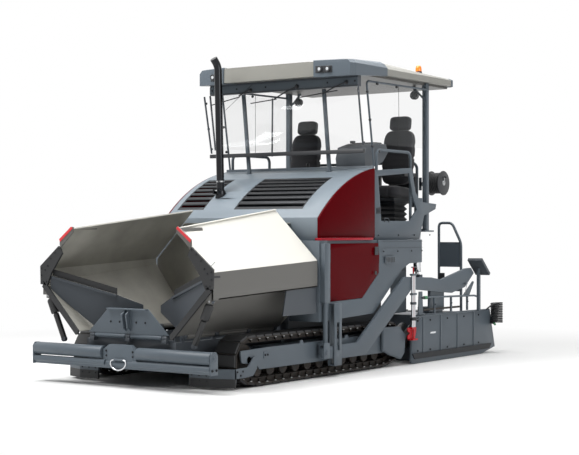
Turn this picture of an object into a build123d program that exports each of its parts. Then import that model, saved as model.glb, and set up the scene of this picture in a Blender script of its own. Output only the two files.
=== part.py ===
"""Tracked asphalt paver: hopper with folding wings, engine hood, canopied platform, floating screed.

Millimetres. X points to the machine's left, Z up from the ground. Stations along Y are counted
back from the centre line of the push rollers; save() moves every piece forward by the same
amount, so the finished model has its origin on the ground under the middle of its outline.
"""
from build123d import *
import os
from math import atan2, cos, degrees, hypot, pi, radians, sin, tan

os.makedirs("parts", exist_ok=True)

# ---------------------------------------------------------------- driving dimensions
side_x = 1222                 # outer plane of the body sides and of the folded wings
plate = 14                    # folded steel plate of the wings and covers
wall = 20                     # structural plate
seat_gap = 0.3                # between pieces that rest on one another
move_gap = 6                  # between pieces that move past one another
pin_gap = 0.1                 # radial play of pins, rods and guide tubes

# push beam
roller_r, roller_z, roller_end_x, roller_inner_x = 70, 370, 1262, 250
bar_r, bar_z = 47, 246
beam_half_width = 1282
beam_pin_r, beam_pin_y = 30, 80

# tracks
track_out, track_width = 1182, 300
idler_y, sprocket_y, wheel_z, wheel_outer_r = 502, 3690, 296, 268
ground_front, ground_rear = 680, 3480
shoe_pitch, shoe_t, link_t, link_width = 160, 28, 67, 150
roller_count, bottom_roller_r = 8, 78
beam_low, beam_high, beam_plate = 184, 417, 18
beam_front, beam_rear = 700, 3560

# chassis and tunnel
chassis_x, tunnel_x = 800, 600
chassis_low, hopper_rail_z = 180, 500
front_beam_y, bulkhead_y, chassis_rear = 150, 2010, 4080
floor_z, tunnel_roof_z = 340, 800

# hopper wings
wing_hinge_x, wing_hinge_z, wing_pin_r, wing_knuckle_r = 650, 560, 15, 30
wing_front, wing_rear = 45, 1990
# (x, z) of the outer face: floor edge, band bottom, crease, top edge
wing_front_points = [(672, 572), (1209, 940), (side_x, 1261), (756, 1720)]
wing_rear_points = [(672, 572), (1209, 1050), (side_x, 1353), (626, 1940)]

# body
hood_front, hood_rear = 2112, 3340
hood_front_z, hood_mid, hood_top_z = 1850, (2576, 2205), 2470
hood_t, hood_half_width = 20, 1140.7
panel_x, panel_t = 1165, 24
waist_z = 1582
body_front, body_low_front, body_low_rear = 2030, 643, 689
door_front, door_rear, door_low, door_high = 2200, 3349, 867, 1545
door_t, door_pin_r = 26, 9
ledge_t = 30

# platform and canopy
deck_z, deck_t, deck_rear = 1700, 20, 4860
deck_notch_front, deck_notch_rear = 4350, 4640
roof_side_x, roof_low, roof_high, roof_front, roof_rear = 1175, 3629, 3800, 3000, 5300
post_x, post_y, post_half = 1095, 4719, 32
front_post_x, front_post_y = 620, 3155
header_y, header_low = 3025, 3452
sill_y, sill_z = 3062, 2689

# levelling and tow points
arm_in, arm_t = 1236, 40
tow_y, tow_z, tow_pin_r, arm_eye_r = 2080, 290, 30, 72
lift_eye_y, lift_eye_z, lift_pivot_y, lift_pivot_z, lift_x = 4518, 1095, 4518, 2060, 1080
lift_angle = 5                # largest lift of the screed, in degrees

beacon_x, beacon_y = 1000, 4680

# screed
auger_y, auger_z, auger_r, auger_shaft_r = 4275, 345, 170, 45
screed_front, screed_mid, screed_rear, screed_end = 4460, 5100, 5900, 6395
screed_top = 600
gate_x, gate_t = 1226, 24
guide_r, guide_y, guide_left_z, guide_right_z = 50, 4780, 430, 230
extension_inner = 20

half_length = (screed_end + roller_r) / 2
mid_station = screed_end - half_length


# ---------------------------------------------------------------- small helpers
def save(name, *solids):
    """Write one node, moved so that the origin is under the middle of the machine."""
    flat = [s for group in solids for s in (group if isinstance(group, (list, tuple)) else [group])]
    moved = [Pos(0, -mid_station, 0) * s for s in flat]
    export_step(Compound(children=moved) if len(moved) > 1 else moved[0], f"parts/{name}.step")


def block(x0, x1, y0, y1, z0, z1):
    return Pos((x0 + x1) / 2, (y0 + y1) / 2, (z0 + z1) / 2) * Box(abs(x1 - x0), abs(y1 - y0), abs(z1 - z0))


def along_x(points, x0, x1):
    """Plate with an outline of (station, height) points, from x0 to x1."""
    return extrude(Plane.YZ.offset(x0) * Polygon(*points, align=None), amount=x1 - x0, dir=(1, 0, 0))


def along_y(points, y0, y1):
    """Plate with an outline of (x, height) points, from station y0 to y1."""
    return extrude(Plane.XZ.offset(-y0) * Polygon(*points, align=None), amount=y1 - y0, dir=(0, 1, 0))


def rod(start, end, radius, bore=0):
    """Round bar or, with a bore, a tube between two points."""
    axis = Vector(*end) - Vector(*start)
    ring = Circle(radius) - Circle(bore) if bore else Circle(radius)
    return extrude(Plane(origin=start, z_dir=axis.normalized()) * ring, amount=axis.length)


def mirrored(solid):
    return mirror(solid, about=Plane.YZ)


def both_sides(*solids):
    return [copy for s in solids for copy in (s, mirrored(s))]


def pipe(points, radius, bend):
    """Bent tube through the points, with rounded corners."""
    path = FilletPolyline(*points, radius=bend)
    return sweep(Plane(origin=path @ 0, z_dir=path % 0) * Circle(radius), path=path)


# ---------------------------------------------------------------- tracks
def track_hull(inset):
    """Side outline of the track loop, drawn in from the shoes' faces by an inset."""
    low_r = wheel_outer_r / 2
    circles = [
        (idler_y, wheel_z, wheel_outer_r - inset),
        (sprocket_y, wheel_z, wheel_outer_r - inset),
        (ground_front, low_r, low_r - inset),
        (ground_rear, low_r, low_r - inset),
    ]
    edges = [Pos(y, z) * CenterArc((0, 0), r, 0, 360) for y, z, r in circles]
    return make_hull(edges)


def make_track():
    """One loop of chain links carrying shoes; the gaps between shoes are notches in its outline."""
    outer = track_hull(0)
    rim = outer.faces()[0].outer_wire()
    count = round(rim.length / shoe_pitch)
    shoes = outer - track_hull(shoe_t)
    for index in range(count):
        spot, way = rim.position_at(index / count), rim.tangent_at(index / count)
        notch = Pos(spot.X, spot.Y) * Rot(0, 0, degrees(atan2(way.Y, way.X))) * Rectangle(14, 2 * (shoe_t - 9))
        shoes -= notch
    links = track_hull(shoe_t) - track_hull(shoe_t + link_t)
    track_in = track_out - track_width
    middle = track_out - track_width / 2
    shoe_band = extrude(Plane.YZ.offset(track_in) * shoes, amount=track_width, dir=(1, 0, 0))
    link_band = extrude(Plane.YZ.offset(middle - link_width / 2) * links, amount=link_width, dir=(1, 0, 0))
    return shoe_band + link_band


def make_track_wheels():
    """Idler, sprocket and bottom rollers of one side, on axles that end at the frame's plates."""
    middle = track_out - track_width / 2
    chain_in = shoe_t + link_t
    frame_gap = track_width / 2 - 10 - beam_plate
    wheels = []
    for y in (idler_y, sprocket_y):
        r = wheel_outer_r - chain_in - 2 * seat_gap
        wheel = rod((middle - 55, y, wheel_z), (middle + 55, y, wheel_z), r)
        wheel -= rod((middle + 25, y, wheel_z), (middle + 55, y, wheel_z), r - 30, 60)
        wheel -= rod((middle - 55, y, wheel_z), (middle - 25, y, wheel_z), r - 30, 60)
        wheels.append(wheel + rod((middle - frame_gap, y, wheel_z), (middle + frame_gap, y, wheel_z), 35))
    first, last = ground_front + 70, ground_rear - 70
    step = (last - first) / (roller_count - 1)
    z = chain_in + seat_gap + bottom_roller_r
    for index in range(roller_count):
        y = first + index * step
        roller = rod((middle - 70, y, z), (middle + 70, y, z), bottom_roller_r)
        wheels.append(roller + rod((middle - frame_gap, y, z), (middle + frame_gap, y, z), 24))
    return wheels


def make_track_frame():
    """Channel beam inside the loop: two side plates, a top plate, a stepped nose and the axle fork."""
    outline = [
        (idler_y - 90, wheel_z - 50), (beam_front - 60, wheel_z - 60), (beam_front, beam_low),
        (beam_rear, beam_low), (sprocket_y + 70, wheel_z - 60), (sprocket_y + 70, wheel_z + 60),
        (beam_rear, beam_high), (beam_front + 160, beam_high), (beam_front + 100, wheel_z + 60),
        (idler_y - 90, wheel_z + 50),
    ]
    outer_face = track_out - 10
    inner_face = track_out - track_width + 10
    frame = along_x(outline, outer_face - beam_plate, outer_face)
    frame += along_x(outline, inner_face, inner_face + beam_plate)
    frame += block(inner_face, outer_face, beam_front + 180, beam_rear - 20, beam_high - 24, beam_high)
    for y in (1240, 2920):
        frame += block(chassis_x + seat_gap, inner_face, y - 120, y + 120, beam_low + 30, beam_high - 40)
    return frame


def make_final_drive():
    """Chamfered cover outside the sprocket, standing off the frame on one block."""
    outline = [
        (3440, 505), (3850, 492), (3985, 385), (3960, 150), (3880, 80), (3600, 150), (3440, 215),
    ]
    cover = along_x(outline, track_out + move_gap, side_x + 4)
    cover = chamfer(cover.faces().sort_by(Axis.X)[-1].edges(), 14)
    return cover + block(track_out - 10, track_out + move_gap, 3600, 3740, 230, 360)


save("track_left", make_track())
save("track_right", mirrored(make_track()))
save("track_frames", both_sides(make_track_frame()))
save("track_wheels", both_sides(*make_track_wheels()))
save("final_drive_covers", both_sides(make_final_drive()))

guard_front = 190
guard = block(951, 1183, guard_front, guard_front + 30, 20, 135)
guard_plate = block(700, 1183, guard_front, guard_front + 12, 135, 270)
guard_plate += block(700, 712, guard_front, guard_front + 60, 200, 270)
guard_plate += block(640 + seat_gap, 712, guard_front + 40, guard_front + 60, 200, 270)
save("track_scraper_rubbers", both_sides(guard))
save("track_scraper_plates", both_sides(guard_plate))

# ---------------------------------------------------------------- chassis
side_outline = [
    (front_beam_y + 60, chassis_low), (chassis_rear - 40, chassis_low), (chassis_rear, chassis_low + 60),
    (chassis_rear, 1560), (bulkhead_y, 1560), (bulkhead_y, hopper_rail_z), (front_beam_y + 60, hopper_rail_z),
]
rail_outer = tunnel_x + 2 * wall
hopper_rail = along_x([
    (front_beam_y, chassis_low), (bulkhead_y, chassis_low), (bulkhead_y, hopper_rail_z),
    (front_beam_y, hopper_rail_z)], tunnel_x, rail_outer)
rear_side = along_x([
    (1050, chassis_low), (chassis_rear - 40, chassis_low), (chassis_rear, chassis_low + 60),
    (chassis_rear, 1560), (bulkhead_y, 1560), (bulkhead_y, hopper_rail_z + 40),
    (1900, hopper_rail_z - 20), (1050, hopper_rail_z - 60)], chassis_x - wall, chassis_x)
side_frames = hopper_rail + rear_side + block(rail_outer, chassis_x - wall, 1050, 1050 + wall, chassis_low, 440)
side_frames += block(rail_outer - wall, chassis_x - wall, bulkhead_y, bulkhead_y + wall, chassis_low, 1560)
chassis = side_frames + mirrored(side_frames)
chassis += block(-tunnel_x, tunnel_x, front_beam_y + 150, chassis_rear - 40, chassis_low, chassis_low + wall)
chassis += block(-tunnel_x, tunnel_x, front_beam_y, front_beam_y + 60, chassis_low, floor_z)
chassis += block(-tunnel_x, tunnel_x, front_beam_y, chassis_rear, floor_z - wall, floor_z)
tunnel_side = block(tunnel_x, rail_outer - wall, bulkhead_y, chassis_rear, chassis_low, tunnel_roof_z)
chassis += tunnel_side + mirrored(tunnel_side)
chassis += block(-chassis_x, chassis_x, bulkhead_y, chassis_rear, tunnel_roof_z, tunnel_roof_z + wall)
chassis += block(-9, 9, 900, chassis_rear - 200, floor_z, tunnel_roof_z) - block(-10, 10, 800, 2000, 500, 900)
# lug for the push beam's pin
chassis += block(-70, 70, 50, front_beam_y, 322, 378) - rod((0, beam_pin_y, 300), (0, beam_pin_y, 400), beam_pin_r + pin_gap)
# hinge knuckles of the wings and of the front flap
knuckles = [(250, 300), (790, 850), (1380, 1440), (1900, 1950)]   # front and rear station of each
for start, end in knuckles:
    lug = block(wing_hinge_x - 40, wing_hinge_x - 10, start, end, hopper_rail_z - 20, wing_hinge_z)
    lug += rod((wing_hinge_x, start, wing_hinge_z), (wing_hinge_x, end, wing_hinge_z), wing_knuckle_r)
    chassis += lug + mirrored(lug)
hinge_pin = rod((wing_hinge_x, 236, wing_hinge_z), (wing_hinge_x, 1964, wing_hinge_z), wing_pin_r)
chassis += hinge_pin + mirrored(hinge_pin)
flap_hinge_y, flap_hinge_z = 118, 545
for x in (-520, 0, 520):
    chassis += block(x - 30, x + 30, 96, front_beam_y + 20, flap_hinge_z - 60, flap_hinge_z - 24)
    chassis += block(x - 30, x + 30, 100, 136, flap_hinge_z - 24, flap_hinge_z)
    chassis += rod((x - 30, flap_hinge_y, flap_hinge_z), (x + 30, flap_hinge_y, flap_hinge_z), 22)
chassis += block(-tunnel_x, tunnel_x, front_beam_y, front_beam_y + 30, floor_z, flap_hinge_z - 24)
chassis += rod((-560, flap_hinge_y, flap_hinge_z), (560, flap_hinge_y, flap_hinge_z), 10)
save("chassis", chassis)

rear_wall_half = [(620, 820 + seat_gap), (620, 600), (690, 600), (1190, 1060), (1190, 1345), (760, 1790)]
bulkhead = along_y(rear_wall_half + [(-x, z) for x, z in rear_wall_half[::-1]], bulkhead_y - wall + 6,
                   bulkhead_y - seat_gap)
bulkhead += block(-760, 760, bulkhead_y - 4, hood_front - seat_gap, 1776, 1790)
save("hopper_rear_wall", bulkhead)

# slat conveyors: two lanes of bars over the floor plate
slats = []
slat_y = 320
while slat_y < chassis_rear - 60:
    lane = block(16, tunnel_x - 12, slat_y, slat_y + 45, floor_z + seat_gap, floor_z + 26)
    slats += both_sides(lane)
    slat_y += 320
save("conveyor_slats", slats)

save("engine_block", block(-430, 430, 2380, 3240, tunnel_roof_z + wall + seat_gap, 1620))

# ---------------------------------------------------------------- push beam and rollers
beam = rod((-beam_half_width, 0, bar_z), (beam_half_width, 0, bar_z), bar_r)
centre_outline = [(-240, 300), (-240, 400), (-150, 462), (150, 462), (240, 400), (240, 300)]
beam += along_y(centre_outline, -30, 30)
beam += block(-240, 240, -30, 30, bar_z, 305)
beam += block(-80, 80, 0, 118, 300, 322 - 2) + block(-80, 80, 0, 118, 380, 410)
beam += rod((0, beam_pin_y, 290), (0, beam_pin_y, 425), beam_pin_r)
for x0 in (roller_end_x + 4, -roller_end_x - 4 - 16):
    beam += along_x([(-60, 200), (60, 200), (60, 400), (30, 440), (-30, 440), (-60, 400)], x0, x0 + 16)
for side in (-1, 1):
    beam += block(side * 240, side * (roller_inner_x - 4), -25, 25, roller_z - 40, roller_z + 40)
    beam += rod((side * 240, 0, roller_z), (side * (roller_end_x + 6), 0, roller_z), 22)
save("push_beam", beam)
roller = rod((roller_inner_x, 0, roller_z), (roller_end_x, 0, roller_z), roller_r, 22 + pin_gap)
save("push_roller_left", roller)
save("push_roller_right", mirrored(roller))

# ---------------------------------------------------------------- hopper wings and front flap
def wing_section(points, station):
    """Closed outline of the folded plate at one station, a plate's thickness inside the points."""
    inner = offset_inward(points, plate)
    outline = points + inner[::-1]
    return Plane.XZ.offset(-station) * Polygon(*outline, align=None)


def offset_inward(points, t):
    """The same open outline moved square to itself by t, towards the hopper's middle."""
    moved = []
    for index, point in enumerate(points):
        legs = []
        if index > 0:
            legs.append((points[index - 1], point))
        if index < len(points) - 1:
            legs.append((point, points[index + 1]))
        normals = []
        for (x0, z0), (x1, z1) in legs:
            length = hypot(x1 - x0, z1 - z0)
            normals.append((-(z1 - z0) / length, (x1 - x0) / length))
        nx = sum(n[0] for n in normals) / len(normals)
        nz = sum(n[1] for n in normals) / len(normals)
        scale = t / (nx * nx + nz * nz)
        moved.append((point[0] + nx * scale, point[1] + nz * scale))
    return moved


def make_wing():
    """Folded side of the hopper: shell, front apron, hinge tube, and the pin's clearance."""
    shell = loft([wing_section(wing_front_points, wing_front), wing_section(wing_rear_points, wing_rear)],
                 ruled=True)
    apron = [(680, 580), (1185, 935), (1190, 1180), (1060, 1145), (359, 853)]
    shell += along_y(apron, 150, 150 + plate)
    starts = [k[1] + 5 for k in knuckles[:-1]]
    ends = [k[0] - 5 for k in knuckles[1:]]
    for start, end in zip(starts, ends):
        shell += rod((wing_hinge_x, start, wing_hinge_z), (wing_hinge_x, end, wing_hinge_z), wing_knuckle_r)
        shell += along_y([(wing_hinge_x, wing_hinge_z - 8), (wing_hinge_x + 34, wing_hinge_z + 14),
                          (wing_hinge_x + 26, wing_hinge_z + 28), (wing_hinge_x, wing_hinge_z + 12)], start, end)
    shell -= rod((wing_hinge_x, 200, wing_hinge_z), (wing_hinge_x, 2000, wing_hinge_z), wing_pin_r + pin_gap)
    for start, end in knuckles:
        shell -= rod((wing_hinge_x, start - 5, wing_hinge_z), (wing_hinge_x, end + 5, wing_hinge_z),
                     wing_knuckle_r + 4)
    return shell


save("wing_left", make_wing())
save("wing_right", mirrored(make_wing()))

flap = along_y([(-580, flap_hinge_z + 30), (580, flap_hinge_z + 30), (285, 850), (-285, 850)], 108, 108 + plate)
flap += along_y([(-285, 836), (285, 836), (285, 850), (-285, 850)], 70, 122)
for x0, x1 in ((-480, -40), (40, 480)):
    flap += rod((x0, flap_hinge_y, flap_hinge_z), (x1, flap_hinge_y, flap_hinge_z), 22, 10 + pin_gap)
    flap += block(x0, x1, 112, 122, flap_hinge_z + 15, flap_hinge_z + 34)
for x0 in (-40, 22):
    flap += along_x([(109, 600), (60, 640), (30, 790), (50, 800), (109, 840)], x0, x0 + 18)
save("front_flap", flap)

# ---------------------------------------------------------------- hood, side bodies, doors
def hood_curve(inset=0):
    front = (hood_front + inset, hood_front_z)
    return ThreePointArc(front, (hood_mid[0], hood_mid[1] - inset), (hood_rear, hood_top_z - inset))


def make_hood():
    outer = hood_curve() + Line((hood_rear, hood_top_z), (hood_rear, waist_z))
    outer += Line((hood_rear, waist_z), (hood_front, waist_z)) + Line((hood_front, waist_z), (hood_front, hood_front_z))
    inner = hood_curve(hood_t) + Line((hood_rear, hood_top_z - hood_t), (hood_rear, waist_z))
    inner += Line((hood_rear, waist_z), (hood_front + hood_t, waist_z))
    inner += Line((hood_front + hood_t, waist_z), (hood_front + hood_t, hood_front_z))
    shell_face = make_face(outer) - make_face(inner)
    shell = extrude(Plane.YZ.offset(-hood_half_width) * shell_face, amount=2 * hood_half_width, dir=(1, 0, 0))
    return shell


grille_fields = [(-170, 850), (-1060, -640)]    # left and right X of each slatted opening
grille_front, grille_rear = 2225, 2880
stack_x, stack_y, stack_low, stack_high, stack_r = -560, 2470, 2190, 3530, 50
hood = make_hood()
hood -= rod((stack_x, stack_y, 1900), (stack_x, stack_y, 2300), 62 + 4)
for side in (-1, 1):
    hood -= block(side * (front_post_x - 34), side * (front_post_x + 34), front_post_y - 45, front_post_y + 40, 2350, 2600)
for x0, x1 in grille_fields:
    hood -= block(x0, x1, grille_front, grille_rear, 1800, 2600)
save("hood", hood)

slat_band = make_face(
    hood_curve(3) + Line((hood_rear, hood_top_z - 3), (hood_rear, hood_top_z - 17))
    + hood_curve(17) + Line((hood_front + 17, hood_front_z), (hood_front + 3, hood_front_z)))
slat_count = 7
grilles = []
for x0, x1 in grille_fields:
    x0, x1 = x0 + seat_gap, x1 - seat_gap
    y0, y1 = grille_front + seat_gap, grille_rear - seat_gap
    band = extrude(Plane.YZ.offset(x0) * slat_band, amount=x1 - x0, dir=(1, 0, 0))
    pitch = (y1 - y0 - 40) / slat_count
    keep = block(x0, x0 + 18, y0, y1, 1800, 2600) + block(x1 - 18, x1, y0, y1, 1800, 2600)
    for index in range(slat_count + 1):
        y = y0 + index * pitch
        keep += block(x0, x1, y, y + 40, 1800, 2600)
    grilles.append(band & keep)
save("hood_grilles", grilles)

upper_outline = (
    Line((body_front + 79, waist_z + ledge_t), (hood_rear, waist_z + ledge_t))
    + Line((hood_rear, waist_z + ledge_t), (hood_rear, hood_top_z - 6))
    + ThreePointArc((hood_rear, hood_top_z - 6), (hood_mid[0], hood_mid[1] - 6), (hood_front - 3, hood_front_z - 6))
    + Line((hood_front - 3, hood_front_z - 6), (body_front + 79, waist_z + ledge_t)))
upper = extrude(Plane.YZ.offset(panel_x - panel_t) * make_face(upper_outline), amount=panel_t, dir=(1, 0, 0))
save("upper_side_panels", both_sides(upper))
ledge = block(panel_x - panel_t, side_x, body_front + 30, 3215, waist_z, waist_z + ledge_t - seat_gap)
save("side_ledges", both_sides(ledge))

side_body_outline = [
    (body_front, body_low_front), (3216, body_low_rear), (3900, 1210), (chassis_rear, 1280),
    (4400, 1290), (4400, waist_z - seat_gap), (body_front, waist_z - seat_gap),
]
door_face_x = side_x - door_t
bay = 240
box_rear = 4150
body = along_x(side_body_outline, chassis_x + seat_gap, door_face_x - seat_gap)
body -= block(chassis_x - 10, door_face_x - wall, box_rear + wall, 4500, 1200, 1600)
body -= along_x([
    (body_front + wall, body_low_front + wall), (3200, body_low_rear + wall), (3860, 1215),
    (chassis_rear, 1310), (box_rear, 1310), (box_rear, waist_z - wall), (body_front + wall, waist_z - wall)],
    chassis_x + wall, door_face_x - wall)
door_outline = [
    (door_front, door_low), (2954, door_low + 20), (3336, 1180), (door_rear, 1376), (3323, door_high),
    (door_front, door_high),
]
opening_outline = [
    (door_front + 60, door_low + 45), (2930, door_low + 65), (3270, 1200), (3280, 1370), (3265, door_high - 40),
    (door_front + 60, door_high - 40),
]
body -= along_x(opening_outline, chassis_x + 60, side_x)
outer_frame = along_x(side_body_outline, door_face_x - seat_gap, side_x)
clear = [
    (door_front - 8, door_low - 4), (2957, door_low + 14), (3342, 1176), (door_rear + 6, 1376), (3330, waist_z),
    (door_front - 8, waist_z),
]
outer_frame -= along_x(clear, door_face_x - 2, side_x + 1)
body += outer_frame
door_pin = (side_x + 10, door_front - 12)
for z in (door_low + 90, door_high - 120):
    body += block(side_x - 2, side_x + 4, door_pin[1] - 22, door_pin[1] - 4, z - 30, z - 2)
    body += block(side_x + 1, side_x + 19, door_pin[1] - 9, door_pin[1] + 9, z - 30, z - 2)
save("side_body_left", body)
save("side_body_right", mirrored(body))

door = along_x(door_outline, door_face_x + seat_gap, side_x)
for z in (door_low + 90, door_high - 120):
    door += rod((door_pin[0], door_pin[1], z), (door_pin[0], door_pin[1], z + 50), 9)
    door += block(side_x + 1, door_pin[0], door_pin[1], door_front + 30, z, z + 50)
    door += block(side_x - 2, side_x + 2, door_front, door_front + 30, z, z + 50)
save("door_left", door)
save("door_right", mirrored(door))

# ---------------------------------------------------------------- exhaust
stub = rod((stack_x, stack_y, 2060), (stack_x, stack_y, stack_low), 62)
stub += rod((stack_x, stack_y, 1790), (stack_x, stack_y, 2070), 48)
stub += block(-640, -250, 2390, 2560, 1620 + seat_gap, 1800)
for x in (stack_x - 44, stack_x + 24):
    stub += block(x, x + 20, stack_y - 106, stack_y - 56, stack_low - 36, stack_low + 24)
stub += rod((stack_x - 44, stack_y - 86, stack_low + 4), (stack_x + 44, stack_y - 86, stack_low + 4), 8)
save("exhaust_stub", stub)
stack = rod((stack_x, stack_y, stack_low + 5), (stack_x - 60, stack_y, stack_high), stack_r, stack_r - 6)
stack += rod((stack_x - 60, stack_y, stack_high - 4), (stack_x - 60, stack_y - 60, stack_high + 90), stack_r, stack_r - 6)
stack += block(stack_x - 18, stack_x + 18, stack_y - 86, stack_y - 40, stack_low + 6, stack_low + 44)
stack += rod((stack_x - 18, stack_y - 86, stack_low + 4), (stack_x + 18, stack_y - 86, stack_low + 4), 17)
stack -= rod((stack_x - 30, stack_y - 86, stack_low + 4), (stack_x + 30, stack_y - 86, stack_low + 4), 8 + pin_gap)
save("exhaust_stack", stack)

# ---------------------------------------------------------------- platform
deck_x = panel_x - panel_t - seat_gap
deck = block(-deck_x, deck_x, hood_rear + seat_gap, deck_notch_front, deck_z - deck_t, deck_z)
deck += block(-1000, 1000, deck_notch_front, deck_notch_rear, deck_z - deck_t, deck_z)
deck += block(-deck_x, deck_x, deck_notch_rear, deck_rear, deck_z - deck_t, deck_z)
deck += block(-deck_x, deck_x, hood_rear + seat_gap, hood_rear + 24, deck_z, 2500)
for x in (-chassis_x + wall, chassis_x - wall):
    deck += block(x - 18, x + 18, hood_rear + 60, 4060, 1560 + seat_gap, deck_z - deck_t)
save("platform_deck", deck)

side_panel_outline = [
    (hood_rear + seat_gap, waist_z + seat_gap), (hood_rear + seat_gap, 2440), (4240, 2500), (4340, 2190),
    (4460, 2070), (4880, 2047), (4860, 1980), (4560, 1890), (4440, waist_z + seat_gap),
]
window_outline = [(3423, 2370), (4174, 2430), (4262, 2151), (4375, 1964), (4200, 1821), (3492, 1818)]
side_panel = along_x(side_panel_outline, panel_x - panel_t, panel_x)
side_panel -= along_x(window_outline, panel_x - 60, panel_x + 10)
save("platform_side_panels", both_sides(side_panel))

console = along_x([(3390, 2500), (3390, 2640), (3480, 2760), (3700, 2800), (3760, 2700), (3640, 2560), (3560, 2500)],
                  250, 980)
console += block(300, 930, hood_rear + 30, 3560, deck_z + seat_gap, 2501)
save("operator_console", console)

seats, pedestals = [], []
for x in (-760, 760):
    pedestals.append(block(x - 170, x + 170, 4230, 4560, deck_z + seat_gap, deck_z + 380))
    pan = block(x - 240, x + 240, 4150, 4620, deck_z + 380 + seat_gap, deck_z + 560)
    back = along_x([(4540, deck_z + 560), (4660, deck_z + 560), (4740, deck_z + 1180), (4650, deck_z + 1180)],
                   x - 230, x + 230)
    head = along_x([(4668, deck_z + 1240), (4752, deck_z + 1240), (4775, deck_z + 1440), (4700, deck_z + 1440)],
                   x - 140, x + 140)
    neck = along_x([(4680, deck_z + 1170), (4730, deck_z + 1170), (4740, deck_z + 1250), (4690, deck_z + 1250)],
                   x - 60, x + 60)
    seats.append(pan + back + neck + head)
save("seat_pedestals", pedestals)
save("seat_left", seats[1])
save("seat_right", seats[0])

# ---------------------------------------------------------------- canopy
posts = []
for side in (-1, 1):
    x = side * post_x
    posts.append(block(x - post_half, x + post_half, post_y - post_half, post_y + post_half, deck_z + seat_gap, roof_low - seat_gap)
                 + block(x - 90 * side, x, post_y - post_half, post_y + post_half, deck_z + seat_gap, deck_z + 20))
    x = side * front_post_x
    posts.append(rod((x, front_post_y, 2390), (x, header_y, header_low - 7), 27)
                 + block(x - 30, x + 30, front_post_y - 30, hood_rear, 2370, 2400))
save("canopy_posts", posts)
roof = along_y([
    (-roof_side_x, roof_low), (-roof_side_x, roof_low + 110), (-roof_side_x + 120, roof_high), (roof_side_x - 120, roof_high),
    (roof_side_x, roof_low + 110), (roof_side_x, roof_low)], roof_front, roof_rear)
roof -= block(-roof_side_x + 60, roof_side_x - 60, roof_front + 100, roof_rear - 60, roof_low - 1, roof_low + 60)
for side in (-1, 1):
    roof += block(side * post_x - 60, side * post_x + 60, post_y - 60, post_y + 60, roof_low, roof_low + 61)
save("canopy_roof", roof)
header = block(-1150, 1150, header_y - 35, header_y + 35, header_low, roof_low - seat_gap)
save("canopy_header", header)
glass = along_x([(sill_y - 3, sill_z + seat_gap), (sill_y + 3, sill_z + seat_gap), (header_y - 40, header_low + 30),
                 (header_y - 46, header_low + 30)], -1150, 1150)
save("windshield", glass)
sill = block(-1185, 1185, sill_y - 22, sill_y + 22, sill_z - 48, sill_z)
for x in (-front_post_x, front_post_x):
    sill += block(x - 20, x + 20, sill_y + 22, sill_y + 30, sill_z - 44, sill_z - 10)
save("windshield_sill", sill)
save("beacon", rod((beacon_x, beacon_y, roof_high + seat_gap), (beacon_x, beacon_y, roof_high + 90), 45))

rails = []
rail_x = 1119
for side in (-1, 1):
    rails.append(pipe([(side * rail_x, 3450, deck_z + seat_gap), (side * rail_x, 3450, 2700),
                       (side * rail_x, 4280, 2700), (side * rail_x, 4280, deck_z + seat_gap)], 19, 80))
rails.append(pipe([(-900, deck_rear - 30, deck_z + seat_gap), (-900, deck_rear - 30, 2600), (900, deck_rear - 30, 2600), (900, deck_rear - 30, deck_z + seat_gap)], 19, 90))
save("handrails", rails)

# ---------------------------------------------------------------- levelling gear and tow arms
arm_out = arm_in + arm_t
arm_mid = arm_in + arm_t / 2
post_cover = block(side_x + seat_gap, side_x + 66, 2045, 2160, 865, 1550)
post_cover -= rod((arm_mid, tow_y + 20, 700), (arm_mid, tow_y + 20, 1200 + seat_gap), 28 + pin_gap)
save("levelling_cylinders", both_sides(post_cover))
column_front, column_rear, column_low, column_high = 2235, 2393, 125, 850
column = block(arm_out + move_gap, arm_out + move_gap + 14, column_front, column_rear, column_low, column_high)
column -= block(arm_out, arm_out + 60, column_front + 50, column_rear - 50, column_low + 180, column_high - 220)
column += block(side_x - 18, arm_in - move_gap, column_front, column_rear, column_low, body_low_front - move_gap)
column += block(side_x + seat_gap, arm_in - move_gap, column_front, column_rear, column_low, column_high)
for z in (column_low, column_high - 18):
    column += block(arm_in - move_gap - 7, arm_out + move_gap + 14, column_front, column_rear, z, z + 18)
save("guide_columns", both_sides(column))

tow_in, tow_out = arm_in - move_gap, arm_out + move_gap
tow = block(tow_in - 12, tow_in, tow_y - 60, tow_y + 60, tow_z - 70, tow_z + 110)
tow += block(tow_out, tow_out + 12, tow_y - 60, tow_y + 60, tow_z - 70, tow_z + 110)
tow += block(tow_in - 12, tow_out + 12, tow_y - 60, tow_y + 60, tow_z + 85, tow_z + 110)
tow += rod((tow_in - 12, tow_y, tow_z), (tow_out + 22, tow_y, tow_z), tow_pin_r)
tow += rod((arm_mid, tow_y + 20, tow_z + 105), (arm_mid, tow_y + 20, 1200), 28)
save("tow_points", both_sides(tow))

arm_outline = [
    (tow_y - 20, 225), (2472, 201), (2953, 207), (4042, 955), (5099, 870), (5467, 936), (5720, 1117), (5640, 1190),
    (5500, 1185), (4821, 1053), (4548, 1090), (3879, 1117), (2773, 364), (2484, 362), (tow_y - 20, 350),
]
arm = along_x(arm_outline, arm_in, arm_out)
arm += rod((arm_in, tow_y, tow_z), (arm_out, tow_y, tow_z), arm_eye_r)
arm -= rod((arm_in - 1, tow_y, tow_z), (arm_out + 1, tow_y, tow_z), tow_pin_r + pin_gap)
arm += block(lift_x - 62, arm_in, lift_eye_y - 40, lift_eye_y + 40, lift_eye_z - 110, lift_eye_z - 86)
for x in (lift_x - 62, lift_x + 42):
    arm += along_x([(lift_eye_y - 40, lift_eye_z - 90), (lift_eye_y + 40, lift_eye_z - 90),
                    (lift_eye_y + 34, lift_eye_z + 30), (lift_eye_y - 34, lift_eye_z + 30)], x, x + 20)
arm += rod((lift_x - 62, lift_eye_y, lift_eye_z), (lift_x + 62, lift_eye_y, lift_eye_z), 20)
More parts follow.
